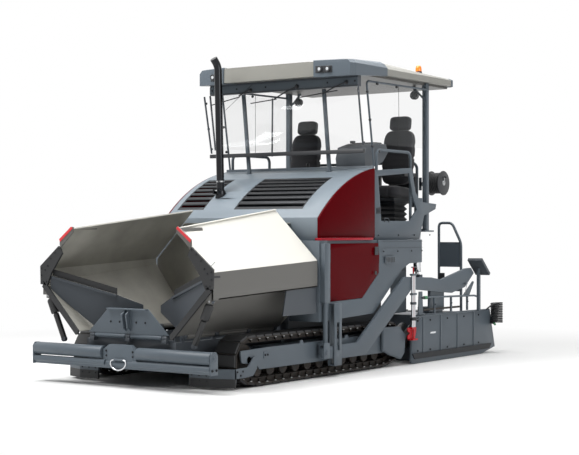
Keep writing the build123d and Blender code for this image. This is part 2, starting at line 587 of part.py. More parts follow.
save("tow_arm_left", arm)
save("tow_arm_right", mirrored(arm))

barrel_end = lift_pivot_z - 590
barrel = rod((lift_x, lift_pivot_y, barrel_end), (lift_x, lift_pivot_y, lift_pivot_z - 68), 38, 25 + pin_gap)
barrel += block(lift_x - 26, lift_x + 26, lift_pivot_y - 26, lift_pivot_y + 26, lift_pivot_z - 70, lift_pivot_z - 30)
barrel += rod((lift_x - 30, lift_pivot_y, lift_pivot_z), (lift_x + 30, lift_pivot_y, lift_pivot_z), 42)
barrel -= rod((lift_x - 40, lift_pivot_y, lift_pivot_z), (lift_x + 40, lift_pivot_y, lift_pivot_z), 20 + pin_gap)
save("lift_barrels", both_sides(barrel))
sleeve_low, sleeve_high = 1160, 1695
lift_rod = rod((lift_x, lift_pivot_y, lift_eye_z + 30), (lift_x, lift_pivot_y, 1705), 25)
lift_rod += rod((lift_x, lift_pivot_y, sleeve_low), (lift_x, lift_pivot_y, sleeve_high), 50, 44)
lift_rod += rod((lift_x, lift_pivot_y, sleeve_low), (lift_x, lift_pivot_y, sleeve_low + 12), 50)
lift_rod += rod((lift_x - 28, lift_eye_y, lift_eye_z), (lift_x + 28, lift_eye_y, lift_eye_z), 44)
lift_rod -= rod((lift_x - 40, lift_eye_y, lift_eye_z), (lift_x + 40, lift_eye_y, lift_eye_z), 20 + 10)
save("lift_rods", both_sides(lift_rod))
hanger = block(lift_x - 60, lift_x - 36, lift_pivot_y - 50, lift_pivot_y + 50, lift_pivot_z - 60, lift_pivot_z + 60)
hanger += block(lift_x + 36, lift_x + 60, lift_pivot_y - 50, lift_pivot_y + 50, lift_pivot_z - 60, lift_pivot_z + 60)
hanger += rod((lift_x - 60, lift_pivot_y, lift_pivot_z), (lift_x + 60, lift_pivot_y, lift_pivot_z), 20)
hanger += block(lift_x + 36, panel_x - panel_t - seat_gap, lift_pivot_y - 50, lift_pivot_y + 50, lift_pivot_z - 60, lift_pivot_z - 20)
save("lift_hangers", both_sides(hanger))

# ---------------------------------------------------------------- screed
main = block(-1215, 1215, screed_front, screed_mid, 20, screed_top)
main -= block(-1195, 1195, screed_front + wall, screed_mid - wall, 20 + wall, screed_top - wall)
for z in (guide_left_z, guide_right_z):
    main -= rod((-1300, guide_y, z), (1300, guide_y, z), guide_r + pin_gap)
main += block(-1215, 1215, screed_front + 20, screed_mid, 0, 20)
for side in (-1, 1):
    main += block(side * 1040, side * 1215, 4600, 4960, screed_top, 700)
    main += block(side * 1190, side * (arm_in - seat_gap), 4600, 4960, 650, 1010)
save("screed_frame", main)

extension_gap = 8
extension = block(extension_inner, 1215, screed_mid + extension_gap, screed_rear, 20, screed_top - 60)
extension -= block(extension_inner + wall, 1195, screed_mid + extension_gap + wall, screed_rear - wall, 20 + wall, screed_top - 60 - wall)
extension += block(extension_inner, 1215, screed_mid + 40, screed_rear, 0, 20)
gate_outline = [
    (4085, 12), (4160, 0), (5990, 0), (screed_end, 75), (6240, 608), (4472, 625), (4085, 506),
]
gate = along_x(gate_outline, gate_x, gate_x + gate_t)
extension += block(1200, gate_x, screed_mid + 60, screed_rear - 40, 60, 500)
walk = block(extension_inner, gate_x, screed_rear, 6240, 500, 540)
save("screed_extension_left", extension + walk)
save("screed_extension_right", mirrored(extension + walk))
for name, side, z in (("end_gate_left", 1, guide_left_z), ("end_gate_right", -1, guide_right_z)):
    tube = rod((-side * 1150, guide_y, z), (side * gate_x, guide_y, z), guide_r)
    save(name, (gate if side > 0 else mirrored(gate)) + tube)

control = block(gate_x + gate_t, gate_x + gate_t + 120, 5500, 5900, 560, 600)
control += block(1330, 1360, 5600, 5640, 600, 1150)
control += along_x([(5450, 1060), (5850, 1240), (5830, 1290), (5430, 1110)], 1310, 1420)
spindle = rod((1335, 4060, 330), (1335, 4060, 1220), 16)
for z in (360, 560):
    spindle += block(gate_x + gate_t, 1360, 4095, 4150, z - 20, z + 20) + block(1310, 1360, 4035, 4110, z - 20, z + 20)
save("end_gate_controls_left", [control, spindle])
save("end_gate_controls_right", [mirrored(control), mirrored(spindle)])

# ---------------------------------------------------------------- augers
def make_auger():
    """Shaft with a screw flight that carries material outwards."""
    length, pitch, turns = 1100, 300, 3.5
    x0 = 90
    shaft = rod((60 + seat_gap, auger_y, auger_z), (x0 + length, auger_y, auger_z), auger_shaft_r)
    path = Pos(x0 + 10, auger_y, auger_z) * Rot(0, 90, 0) * Helix(pitch, pitch * turns, (auger_r + auger_shaft_r) / 2)
    flight_section = Plane(origin=path @ 0, z_dir=path % 0, x_dir=(0, 0, 1)) * Rectangle(auger_r - auger_shaft_r + 8, 14)
    return shaft, path, flight_section


hanger_box = block(-60, 60, chassis_rear + seat_gap, auger_y + 90, auger_z - 90, 640)
save("auger_gearbox", hanger_box)
shaft, path, flight_section = make_auger()
discs = shaft
for index in range(7):
    x = 150 + index * 160
    discs += Pos(x, auger_y, auger_z) * Rot(0, 90, 0) * Rot(0, 18, 0) * Cylinder(auger_r, 14)
save("auger_left", discs)
save("auger_right", mirrored(discs))
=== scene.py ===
"""Looks of a tracked asphalt paver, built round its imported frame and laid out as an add-on.

Positions are written as (x, station, height) in millimetres: x to the machine's left, stations
counted back from the push rollers' axis, height from the ground. place() turns them into
the frame's metres.
"""
from math import atan2, cos, hypot, pi, radians, sin

import bmesh
import bpy
from mathutils import Matrix, Vector


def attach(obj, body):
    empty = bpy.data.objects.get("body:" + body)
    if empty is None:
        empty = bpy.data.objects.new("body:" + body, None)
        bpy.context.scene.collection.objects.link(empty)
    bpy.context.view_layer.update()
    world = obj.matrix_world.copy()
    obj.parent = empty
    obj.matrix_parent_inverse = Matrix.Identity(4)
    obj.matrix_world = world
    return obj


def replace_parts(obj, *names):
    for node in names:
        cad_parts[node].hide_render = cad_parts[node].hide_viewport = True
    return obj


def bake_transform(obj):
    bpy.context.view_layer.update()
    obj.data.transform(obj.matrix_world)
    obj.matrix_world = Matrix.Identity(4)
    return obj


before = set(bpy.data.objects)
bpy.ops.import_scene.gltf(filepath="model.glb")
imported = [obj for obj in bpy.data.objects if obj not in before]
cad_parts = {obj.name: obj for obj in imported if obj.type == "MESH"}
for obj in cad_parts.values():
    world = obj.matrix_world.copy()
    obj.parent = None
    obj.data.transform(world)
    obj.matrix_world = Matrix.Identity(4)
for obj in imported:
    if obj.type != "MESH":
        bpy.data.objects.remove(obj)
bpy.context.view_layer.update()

bl_info = {
    "name": "Tracked asphalt paver",
    "version": (1, 0, 0),
    "blender": (4, 5, 0),
    "location": "View3D > Sidebar > Paver",
    "description": "Builds the finish and fittings of a tracked asphalt paver",
    "category": "Object",
}

MID_STATION = 3162.5            # the frame's origin is under this station
SIDE_X = 1222                   # outer plane of the body sides
PANEL_X = 1165                  # outer plane of hood sides and platform sides
WAIST_Z = 1582                  # red ledge
ROOF_LOW = 3629                 # underside of the roof
CAP_X, CAP_REAR, TAIL_CAP = 690, 3592, 5250     # blue-grey corners and tail of the roof
SEAT_X = 745                    # middle of each operator's seat
GATE_SIDE, GATE_X = 1251, 1290  # outer face of the end gates, and the plane of rails and spindles over them
WING_HINGE = (650, 560)         # (x, height)


def place(x, station, z):
    """Point of the frame, in metres, for millimetres counted as this file counts them."""
    return Vector((x, station - MID_STATION, z)) / 1000


# ---------------------------------------------------------------- sizes and colours a user changes
class PaverColours(bpy.types.PropertyGroup):
    """Colours of the paints and covers, as sRGB hex values."""
    body: bpy.props.StringProperty(name="Machine", description="Blue-grey enamel of the machine",
                                   default="#5A636B")
    # painted highlight: the hood's colour is the machine's blue-grey made lighter for the light on its top
    hood: bpy.props.StringProperty(name="Hood", description="Blue-grey enamel of the hood, lightened as painted highlight",
                                   default="#78828A")
    wing: bpy.props.StringProperty(name="Wings", description="Warm white enamel of the hopper's outside",
                                   default="#DDDBD3")
    hopper: bpy.props.StringProperty(name="Hopper", description="Warm grey paint inside the hopper",
                                     default="#95938B")
    door: bpy.props.StringProperty(name="Doors", description="Deep red enamel of doors and side panels",
                                   default="#58020A")
    roof: bpy.props.StringProperty(name="Roof", description="Warm grey enamel of the canopy's roof",
                                   default="#8C8B85")
    cover: bpy.props.StringProperty(name="Seats", description="Charcoal woven cover of the seats",
                                    default="#26262A")
    beacon: bpy.props.StringProperty(name="Beacon", description="Orange of the warning beacon's dome",
                                     default="#F08018")


class PaverSizes(bpy.types.PropertyGroup):
    """Sizes of the fittings that a user would change."""
    shoe_pitch: bpy.props.FloatProperty(name="Track pitch", description="Distance between track shoes",
                                        default=0.155, unit="LENGTH")
    hose_wound: bpy.props.FloatProperty(name="Wound hose", description="Outside diameter of the water hose",
                                        default=0.024, unit="LENGTH")
    edge: bpy.props.FloatProperty(name="Edge", description="Width of the rounding on bent and cut sheet",
                                  default=0.003, unit="LENGTH")
    lamp_power: bpy.props.FloatProperty(name="Lamp", description="Strength of the studio's main lamp",
                                        default=330.0, unit="POWER")


# ---------------------------------------------------------------- materials
def linear(hex_colour):
    """Scene-linear colour of an sRGB hex value."""
    values = [int(hex_colour[i:i + 2], 16) / 255 for i in (1, 3, 5)]
    return tuple(v / 12.92 if v <= 0.04045 else ((v + 0.055) / 1.055) ** 2.4 for v in values) + (1.0,)


def add_node(tree, kind, settings=(), links=()):
    """Add a node: settings are (property or input, value) pairs, links are (input, socket) pairs."""
    node = tree.nodes.new(kind)
    for key, value in settings:
        if isinstance(key, str) and hasattr(node, key):
            setattr(node, key, value)
        else:
            node.inputs[key].default_value = value
    for key, socket in links:
        tree.links.new(socket, node.inputs[key])
    return node


def object_space(tree):
    """Socket with the place on the object, in metres."""
    return add_node(tree, "ShaderNodeTexCoord").outputs["Object"]


def wave_scale(apart_mm):
    """Scale of a wave texture whose bands are apart_mm apart."""
    return 1000 / apart_mm / 6.28


def relief(tree, shader, height, strength, distance):
    """Raise the shader's surface by a height socket, as far as distance in metres."""
    bump = add_node(tree, "ShaderNodeBump", [("Strength", strength), ("Distance", distance)],
                    [("Height", height)])
    tree.links.new(bump.outputs[0], shader.inputs["Normal"])


def painted_glow(shader, colour, strength):
    """Painted glow: light of its own, for films and domes that are to look brighter than their surroundings.
    """
    shader.inputs["Emission Color"].default_value = linear(colour)
    shader.inputs["Emission Strength"].default_value = strength


def new_material(name, colour, roughness, metallic=0.0, ior=1.5, **others):
    """A named material and its shader, whose plain values are set on the shader's own sockets."""
    material = bpy.data.materials.new(name)
    material.use_nodes = True
    material.diffuse_color = linear(colour)
    shader = material.node_tree.nodes["Principled BSDF"]
    shader.inputs["Base Color"].default_value = linear(colour)
    shader.inputs["Roughness"].default_value = roughness
    shader.inputs["Metallic"].default_value = metallic
    if metallic < 0.5:
        shader.inputs["IOR"].default_value = ior
    for key, value in others.items():
        shader.inputs[key.replace("_", " ")].default_value = value
    return material, shader


def grain(material, shader, size_mm, depth_mm, stretch=(1, 1, 1), detail=3.0):
    """Surface relief whose grain is size_mm across and depth_mm deep."""
    tree = material.node_tree
    where = object_space(tree)
    scaled = add_node(tree, "ShaderNodeMapping", [("Scale", stretch)], [("Vector", where)])
    noise = add_node(tree, "ShaderNodeTexNoise", [("Scale", 1000 / size_mm), ("Detail", detail)],
                     [("Vector", scaled.outputs[0])])
    relief(tree, shader, noise.outputs[0], 1.0, depth_mm / 1000)


def mottle(material, shader, light, dark, size_mm, share=0.5, roughness=None):
    """Base colour that drifts between two tones in patches size_mm across."""
    tree = material.node_tree
    where = object_space(tree)
    noise = add_node(tree, "ShaderNodeTexNoise", [("Scale", 1000 / size_mm), ("Detail", 5.0)],
                     [("Vector", where)])
    ramp = add_node(tree, "ShaderNodeValToRGB", (), [("Fac", noise.outputs[0])])
    ramp.color_ramp.elements[0].position = max(0.0, share - 0.18)
    ramp.color_ramp.elements[1].position = min(1.0, share + 0.18)
    ramp.color_ramp.elements[0].color = linear(dark)
    ramp.color_ramp.elements[1].color = linear(light)
    tree.links.new(ramp.outputs[0], shader.inputs["Base Color"])
    if roughness:
        spread = add_node(tree, "ShaderNodeMapRange", [("To Min", roughness[0]), ("To Max", roughness[1])],
                          [("Value", noise.outputs[0])])
        tree.links.new(spread.outputs[0], shader.inputs["Roughness"])
    return ramp


def enamel(name, colour, roughness=0.4, gleam=0.28):
    """Sprayed two-pack enamel: even colour, soft clear reflections, a faint orange peel."""
    material, shader = new_material(name, colour, roughness, ior=1.5, Specular_IOR_Level=gleam)
    grain(material, shader, size_mm=9, depth_mm=0.03)
    return material


def worn_hopper_paint(name, colour):
    """Enamel on mild steel, dulled by asphalt: patchy warm grey with a dry, chalky sheen."""
    material, shader = new_material(name, colour, 0.5, ior=1.5)
    mottle(material, shader, "#A8A69E", "#8E8C84", size_mm=420, roughness=(0.42, 0.6))
    return material


def rolled_steel(name, colour, roughness=0.42):
    """Rolled, unpainted steel plate: grey metal with a long, soft sheen and fine mill marks."""
    material, shader = new_material(name, colour, roughness, metallic=1.0)
    grain(material, shader, size_mm=14, depth_mm=0.08, stretch=(1, 8, 1))
    return material


def cast_steel(name, colour):
    """Forged and cast steel with brown mill scale and road dust: dark, rough, hardly any gleam."""
    material, shader = new_material(name, colour, 0.62, metallic=0.35)
    mottle(material, shader, "#362F29", "#1D1A18", size_mm=60, share=0.52, roughness=(0.5, 0.75))
    return material


def rubber(name, colour="#1B1C1E", roughness=0.55):
    """Moulded EPDM rubber: near black, with a dull wide sheen."""
    material, shader = new_material(name, colour, roughness, ior=1.52)
    grain(material, shader, size_mm=6, depth_mm=0.1)
    return material


def hard_chrome(name, colour="#C9CBCE", roughness=0.12):
    """Hard chrome on a ground rod: mirror-like, slightly blue-grey."""
    return new_material(name, colour, roughness, metallic=1.0)[0]


def toughened_glass(name):
    """Toughened soda-lime glass seen through thin panes: clear, with a faint gleam that grows at a slant."""
    material = new_material(name, "#F7FAFA", 0.0, ior=1.45, Transmission_Weight=1.0)[0]
    tree = material.node_tree
    clear = add_node(tree, "ShaderNodeBsdfTransparent", [("Color", linear("#FBFBFB"))])
    gleam = add_node(tree, "ShaderNodeBsdfGlossy", [("Roughness", 0.05), ("Color", linear("#E6EAEC"))])
    mix = add_node(tree, "ShaderNodeMixShader", [("Fac", 0.025)],
                   [(1, clear.outputs[0]), (2, gleam.outputs[0])])
    tree.links.new(mix.outputs[0], tree.nodes["Material Output"].inputs["Surface"])
    return material


def woven_cover(name, colour):
    """Woven polyester seat cover: matte, with a fine two-way weave, drawn 4 mm coarse so that it shows."""
    material, shader = new_material(name, colour, 0.88, ior=1.45, Sheen_Weight=0.25)
    tree = material.node_tree
    where = object_space(tree)
    waves = [add_node(tree, "ShaderNodeTexWave", [("bands_direction", axis), ("Scale", wave_scale(4))],
                      [("Vector", where)]).outputs[1] for axis in "XZ"]
    weave = add_node(tree, "ShaderNodeMath", [("operation", "MULTIPLY")], [(0, waves[0]), (1, waves[1])])
    relief(tree, shader, weave.outputs[0], 0.6, 0.0006)
    return material


def moulded_plastic(name, colour, roughness=0.45):
    """Injection-moulded ABS or nylon: even colour, fine leather-like texture."""
    material, shader = new_material(name, colour, roughness, ior=1.53)
    grain(material, shader, size_mm=3, depth_mm=0.05)
    return material


def reflex_film(name, colour):
    """Prismatic retro-reflective film: saturated, glossy face, made to look bright by a painted glow."""
    material, shader = new_material(name, colour, 0.25, ior=1.49, Coat_Weight=0.5)
    # painted glow: the film's brightness is emitted, not reflected
    painted_glow(shader, colour, 0.25)
    return material


def lamp_lens(name):
    """Fluted polycarbonate lens over a silvered bowl: pale, bright, with vertical ribs 6 mm apart."""
    material, shader = new_material(name, "#DDE1E4", 0.15, metallic=0.6)
    tree = material.node_tree
    where = object_space(tree)
    ribs = add_node(tree, "ShaderNodeTexWave", [("bands_direction", "X"), ("Scale", wave_scale(6))],
                    [("Vector", where)])
    relief(tree, shader, ribs.outputs[1], 0.7, 0.002)
    return material


def tinted_dome(name, colour):
    """Orange polycarbonate dome: deep colour under a glossy skin, with a painted glow that makes it look lit.
    """
    material, shader = new_material(name, colour, 0.12, ior=1.58, Subsurface_Weight=0.2)
    # painted glow on the dome
    painted_glow(shader, colour, 0.2)
    return material


def two_tone_roof(name, colour, cap_colour):
    """Roof of glass-fibre plastic in warm grey enamel, its corner caps in the machine's blue-grey."""
    material, shader = new_material(name, colour, 0.34, ior=1.5, Specular_IOR_Level=0.3)
    tree = material.node_tree
    where = object_space(tree)
    axes = add_node(tree, "ShaderNodeSeparateXYZ", (), [("Vector", where)]).outputs
    across = add_node(tree, "ShaderNodeMath", [("operation", "ABSOLUTE")], [(0, axes["X"])]).outputs[0]
    cap = add_node(tree, "ShaderNodeMath", [("operation", "GREATER_THAN"), (1, CAP_X / 1000)], [(0, across)])
    ahead = add_node(tree, "ShaderNodeMath", [("operation", "LESS_THAN"),
                                              (1, (CAP_REAR - MID_STATION) / 1000)], [(0, axes["Y"])])
    tail = add_node(tree, "ShaderNodeMath", [("operation", "GREATER_THAN"),
                                             (1, (TAIL_CAP - MID_STATION) / 1000)], [(0, axes["Y"])])
    front = add_node(tree, "ShaderNodeMath", [("operation", "MULTIPLY")],
                     [(0, cap.outputs[0]), (1, ahead.outputs[0])])
    either = add_node(tree, "ShaderNodeMath", [("operation", "MAXIMUM")],
                      [(0, front.outputs[0]), (1, tail.outputs[0])])
    mix = add_node(tree, "ShaderNodeMix", [("data_type", "RGBA"), (6, linear(colour)),
                                           (7, linear(cap_colour))], [(0, either.outputs[0])])
    tree.links.new(mix.outputs[2], shader.inputs["Base Color"])
    return material


def make_finishes():
    """All finishes of the machine by the name this file uses for them."""
    colours = bpy.context.scene.paver_colours
    return {
        "paint": enamel("Sprayed enamel, blue-grey", colours.body),
        # painted highlight: the machine's blue-grey lightened for the hood, whose top catches the light
        "hood": enamel("Sprayed enamel, blue-grey with painted highlight", colours.hood),
        "white": enamel("Sprayed enamel, warm white", colours.wing, roughness=0.3),
        # mid grey: on the wings it is painted shade, the warm white darkened on faces that look sideways and
        # down; on hinges, plates and the roof's underside a plain grey
        "band": enamel("Sprayed enamel, mid grey and painted shade", "#6C6B68"),
        "slate": enamel("Sprayed enamel, dark slate", "#4A4F55"),
        "pale": enamel("Sprayed enamel, pale grey", "#BDBBB2"),
        "hopper": worn_hopper_paint("Worn hopper paint, warm grey", colours.hopper),
        "red": enamel("Sprayed enamel, deep red", colours.door, roughness=0.24, gleam=0.03),
        "ledge": enamel("Sprayed enamel, bright red", "#A01426", roughness=0.28, gleam=0.15),
        "roof": two_tone_roof("Enamelled glass-fibre roof", colours.roof, "#596068"),
        "steel": rolled_steel("Rolled steel plate", "#8B8C8D"),
        "dark_steel": rolled_steel("Dark rolled steel", "#3B3C3E", roughness=0.5),
        # dull silver without a grain
        "zinc": new_material("Zinc-plated steel", "#A9ABAC", 0.35, metallic=1.0)[0],
        "cast": cast_steel("Cast track steel", "#352F2A"),
        "rubber": rubber("Moulded EPDM rubber"),
        "gloss_rubber": rubber("Smooth hose rubber", "#141517", 0.32),
        "chrome": hard_chrome("Hard chrome"),
        "exhaust": hard_chrome("Dark chromed steel tube", "#303133", 0.14),
        "glass": toughened_glass("Toughened glass"),
        "cover": woven_cover("Woven polyester cover", colours.cover),
        "plastic": moulded_plastic("Moulded ABS, black", "#202226"),
        "grey_plastic": moulded_plastic("Moulded ABS, grey", "#4B5157"),
        "clamp": enamel("Powder-coated clamp, red", "#B8141F", roughness=0.35),
        "green": moulded_plastic("Moulded nylon, green", "#1F7A48", 0.35),
        "marker": reflex_film("Retro-reflective warning film, red", "#C81E28"),
        "lens": lamp_lens("Lamp lens"),
        "beacon": tinted_dome("Polycarbonate dome, orange", colours.beacon),
        # near black under a sharp gleam
        "screen": new_material("Display glass, dark", "#0E1114", 0.08, ior=1.5)[0],
    }


FINISH = {}


# ---------------------------------------------------------------- making meshes
def rounded_path(points, bend, steps=5):
    """The same polyline with each inner corner replaced by a short curve that starts bend before it."""
    points = [Vector(p) for p in points]
    path = [points[0]]
    for before, corner, after in zip(points, points[1:], points[2:]):
        reach = min(bend, (before - corner).length * 0.48, (after - corner).length * 0.48)
        start = corner + (before - corner).normalized() * reach
        end = corner + (after - corner).normalized() * reach
        for i in range(steps + 1):
            t = i / steps
            path.append(start * (1 - t) ** 2 + corner * 2 * t * (1 - t) + end * t ** 2)
    path.append(points[-1])
    return path


def smooth_path(points, steps=8):
    """Curve that passes through all the points, for hoses and wires."""
    points = [Vector(p) for p in points]
    points = [2 * points[0] - points[1]] + points + [2 * points[-1] - points[-2]]
    path = []
    for p0, p1, p2, p3 in zip(points, points[1:], points[2:], points[3:]):
        for i in range(steps):
            t = i / steps
            path.append(0.5 * (2 * p1 + (p2 - p0) * t + (2 * p0 - 5 * p1 + 4 * p2 - p3) * t * t
                               + (3 * p1 - p0 - 3 * p2 + p3) * t ** 3))
    path.append(points[-2])
    return path


class Piece:
    """A mesh that is put together in millimetres and handed to the frame in metres."""

    def __init__(self, name):
        self.name, self.points, self.faces, self.finishes, self.used = name, [], [], [], []

    def add(self, points, faces, finish):
        """Points in millimetres, faces as index lists, one finish."""
        if finish not in self.used:
            self.used.append(finish)
        start = len(self.points)
        self.points += [Vector(p) for p in points]
        self.faces += [[start + i for i in face] for face in faces]
        self.finishes += [self.used.index(finish)] * len(faces)

    def loft(self, outline, far, finish):
        """Solid between two outlines in space that have as many points each."""
        count = len(outline)
        sides = [[i, (i + 1) % count, count + (i + 1) % count, count + i] for i in range(count)]
        ends = [list(range(count))[::-1], list(range(count, 2 * count))]
        self.add(list(outline) + list(far), ends + sides, finish)

    def prism(self, outline, shift, finish):
        """Solid between an outline in space and the same outline moved by shift."""
        self.loft(outline, [Vector(p) + Vector(shift) for p in outline], finish)

    def block(self, x0, x1, s0, s1, z0, z1, finish):
        """Bar or plate between two corners."""
        self.prism([(x0, s0, z0), (x1, s0, z0), (x1, s1, z0), (x0, s1, z0)], (0, 0, z1 - z0), finish)

    def along_x(self, outline, x0, x1, finish):
        """Plate with an outline of (station, height) points."""
        self.prism([(x0, s, z) for s, z in outline], (x1 - x0, 0, 0), finish)

    def along_y(self, outline, s0, s1, finish):
        """Plate with an outline of (x, height) points."""
        self.prism([(x, s0, z) for x, z in outline], (0, s1 - s0, 0), finish)

    def skin(self, rings, finish):
        """Solid through rings of as many points each, closed at both ends."""
        sides, last = len(rings[0]), (len(rings) - 1) * len(rings[0])
        faces = []
        for ring in range(0, last, sides):
            for i in range(sides):
                a, b = ring + i, ring + (i + 1) % sides
                faces.append([a, b, b + sides, a + sides])
        faces.append(list(range(sides))[::-1])
        faces.append([last + i for i in range(sides)])
        self.add([p for ring in rings for p in ring], faces, finish)

    def lathe(self, start, way, profile, finish, sides=24):
        """Turned shape: profile holds (distance along the way, radius) pairs from its start."""
        start, way = Vector(start), Vector(way).normalized()
        across = way.orthogonal().normalized()
        other = way.cross(across)
        turns = [2 * pi * i / sides for i in range(sides)]
        self.skin([[start + way * along + (across * cos(t) + other * sin(t)) * max(radius, 0.01)
                    for t in turns] for along, radius in profile], finish)

    def rod(self, start, end, radius, finish, sides=16, edge=1.5):
        """Round bar with slightly broken edges."""
        length = (Vector(end) - Vector(start)).length
        profile = [(0, radius - edge), (edge, radius), (length - edge, radius), (length, radius - edge)]
        self.lathe(start, Vector(end) - Vector(start), profile, finish, sides)

    def tube(self, path, radius, finish, sides=10):
        """Round bar or hose along a path."""
        path = [Vector(p) for p in path]
        way = (path[1] - path[0]).normalized()
        across = way.orthogonal().normalized()
        turns = [2 * pi * i / sides for i in range(sides)]
        rings = []
        for index, spot in enumerate(path):
            ahead = path[min(index + 1, len(path) - 1)] - path[max(index - 1, 0)]
            turn = way.rotation_difference(ahead.normalized())
            way, across = ahead.normalized(), (turn @ across).normalized()
            other = way.cross(across)
            rings.append([spot + (across * cos(t) + other * sin(t)) * radius for t in turns])
        self.skin(rings, finish)

    def bolt(self, spot, way, across=16, finish="dark_steel", washer=True):
        """Hexagon head across millimetres wide on its washer, standing up along way."""
        if washer:
            self.lathe(spot, way, [(0, across * 0.78), (across * 0.12, across * 0.78)], finish, 16)
        rise = across * 0.12 if washer else 0
        start = Vector(spot) + Vector(way).normalized() * rise
        head = [(0, across * 0.57), (across * 0.42, across * 0.57), (across * 0.52, across * 0.46)]
        self.lathe(start, way, head, finish, 6)

    def mirror(self):
        """Add the same shape on the machine's other side."""
        start = len(self.points)
        self.points += [Vector((-p.x, p.y, p.z)) for p in self.points]
        self.faces += [[start + i for i in face[::-1]] for face in self.faces]
        self.finishes += list(self.finishes)

    def turn_over(self):
        """Move the whole shape to the machine's other side."""
        self.points = [Vector((-p.x, p.y, p.z)) for p in self.points]
        self.faces = [face[::-1] for face in self.faces]

    def build(self, body, slot=None, edge=0.0, sharp=35):
        """Object on a body of the frame, or on none yet, its edges softened by edge millimetres."""
        mesh = bpy.data.meshes.new(self.name)
        mesh.from_pydata([place(*p) for p in self.points], [], self.faces)
        for finish in self.used:
            mesh.materials.append(FINISH[finish])
        mesh.polygons.foreach_set("material_index", self.finishes)
        mesh.validate()
        tidy = bmesh.new()
        tidy.from_mesh(mesh)
        bmesh.ops.recalc_face_normals(tidy, faces=tidy.faces)
        tidy.to_mesh(mesh)
        tidy.free()
        mesh.shade_smooth()
        mesh.set_sharp_from_angle(angle=radians(sharp))
        made = bpy.data.objects.new(self.name, mesh)
        bpy.context.collection.objects.link(made)
        if edge:
            soften(made, edge / 1000)
        if body:
            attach(made, body)
        return made


def soften(made, width):
    """Round the sharp edges of a piece a little, as bent or ground steel is."""
    bevel = made.modifiers.new("Edge", "BEVEL")
    bevel.width, bevel.segments, bevel.limit_method = width, 2, "ANGLE"
    bevel.angle_limit = radians(38)
    bevel.harden_normals = True
    bevel.use_clamp_overlap = True


def both(points):
    """The same points on the machine's other side."""
    return [(-x, s, z) for x, s, z in points]


# ---------------------------------------------------------------- the frame's own nodes
WING_FRONT, WING_REAR = 45, 1990
# (x, height) of the wing's folds at its front and rear end, from hinge to upper edge
FRONT_FOLDS = [(672, 572), (1209, 1110), (1222, 1261), (756, 1720)]
REAR_FOLDS = [(672, 572), (1209, 1270), (1222, 1353), (626, 1940)]
APRON_REAR = 530                # station of the apron's inner end
# Nodes that aren't in plain machine enamel; wings and upper side panels are finished face by face.
NODE_FINISH = {
    "auger_left": "steel", "auger_right": "steel", "beacon": "beacon", "canopy_header": "slate",
    "canopy_roof": "roof", "chassis": "slate", "conveyor_slats": "steel", "door_left": "red",
    "door_right": "red", "end_gate_controls_left": "grey_plastic",
    "end_gate_controls_right": "grey_plastic", "engine_block": "cast", "exhaust_stack": "exhaust",
    "exhaust_stub": "exhaust", "hood": "hood", "hood_grilles": "dark_steel",
    "hopper_rear_wall": "hopper", "lift_rods": "chrome", "operator_console": "plastic",
    "seat_left": "cover", "seat_right": "cover", "seat_pedestals": "rubber", "side_ledges": "ledge",
    "track_left": "cast", "track_right": "cast", "track_wheels": "cast",
    "track_scraper_rubbers": "rubber", "windshield": "glass", "windshield_sill": "plastic",
}


def finish_by_face(node, finishes, choose):
    """Give each face of a node one of several finishes; choose gets its centre and normal in millimetres."""
    mesh = node.data
    for finish in finishes:
        mesh.materials.append(FINISH[finish])
    for polygon in mesh.polygons:
        c = polygon.center * 1000
        spot = (c.x, c.y + MID_STATION, c.z)
        polygon.material_index = finishes.index(choose(spot, polygon.normal))


def wing_finish(spot, normal):
    """White outside above the crease, the mid grey of painted shade on the band below it, worn paint inside,
    slate apron and hinge.
    """
    x, station, z = abs(spot[0]), spot[1], spot[2]
    out = normal.x if spot[0] > 0 else -normal.x
    front, rear = FRONT_FOLDS[2][1], REAR_FOLDS[2][1]
    crease = front + (station - WING_FRONT) / (WING_REAR - WING_FRONT) * (rear - front)
    upright = abs(normal.z) < 0.05 and abs(normal.x) > 0.2 and abs(normal.y) > 0.6
    apron = upright and station < APRON_REAR and x < 1135
    if apron or (z < 600 and x < 700):
        return "slate"
    slanted = abs(normal.z) > 0.1 and abs(normal.y) > 0.02
    if WING_FRONT < station < APRON_REAR and x < 1128 and z < 1195 and slanted:
        return "pale"
    if station < 100 and abs(normal.y) < 0.5 and z < 1120 and x > 1100 and z > 920:
        return "slate"
    if station < WING_FRONT - 0.5 or (station < 430 and z > 1690):
        return "band"
    if z > crease + 1:
        return "white" if out > 0.1 and normal.z > 0.1 else "hopper"
    # the outer faces below the crease take the mid grey: painted shade of the white
    if x > SIDE_X - 15 and out > 0.9:
        return "band"
    if x > SIDE_X - 55 and z < 1070:
        return "band"
    return "hopper"


def panel_finish(spot, normal):
    """Bright red on the ledge along the waist, deep red above it."""
    return "ledge" if spot[2] < WAIST_Z + 30.5 and normal.z < 0.95 or spot[2] < WAIST_Z + 31 else "red"


class PAVER_OT_finishes(bpy.types.Operator):
    """Give every node of the frame its finish and soften its edges"""
    bl_idname = "paver.finishes"
    bl_label = "Finish of the frame"

    def execute(self, context):
        FINISH.update(make_finishes())
        edge = context.scene.paver_sizes.edge
        for name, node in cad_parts.items():
            node.data.materials.clear()
            if name in ("wing_left", "wing_right"):
                finish_by_face(node, ["white", "band", "hopper", "slate", "pale"], wing_finish)
            elif name == "upper_side_panels":
                finish_by_face(node, ["red", "ledge"], panel_finish)
            else:
                node.data.materials.append(FINISH[NODE_FINISH.get(name, "paint")])
            weld = node.modifiers.new("Weld", "WELD")
            weld.merge_threshold = 0.0002
            if name not in ("windshield", "auger_left", "auger_right"):
                soften(node, edge)
            node.data.shade_smooth()
            node.data.set_sharp_from_angle(angle=radians(30))
        return {"FINISHED"}


# ---------------------------------------------------------------- tracks
# (station, height) of the wheels' axles; radius and ends of the run on the ground are the chain's
IDLER, SPROCKET, WHEEL_R = (745, 300), (3690, 300), 264
GROUND_FRONT, GROUND_REAR = 925, 3480
TRACK_IN, TRACK_OUT = 882, 1182


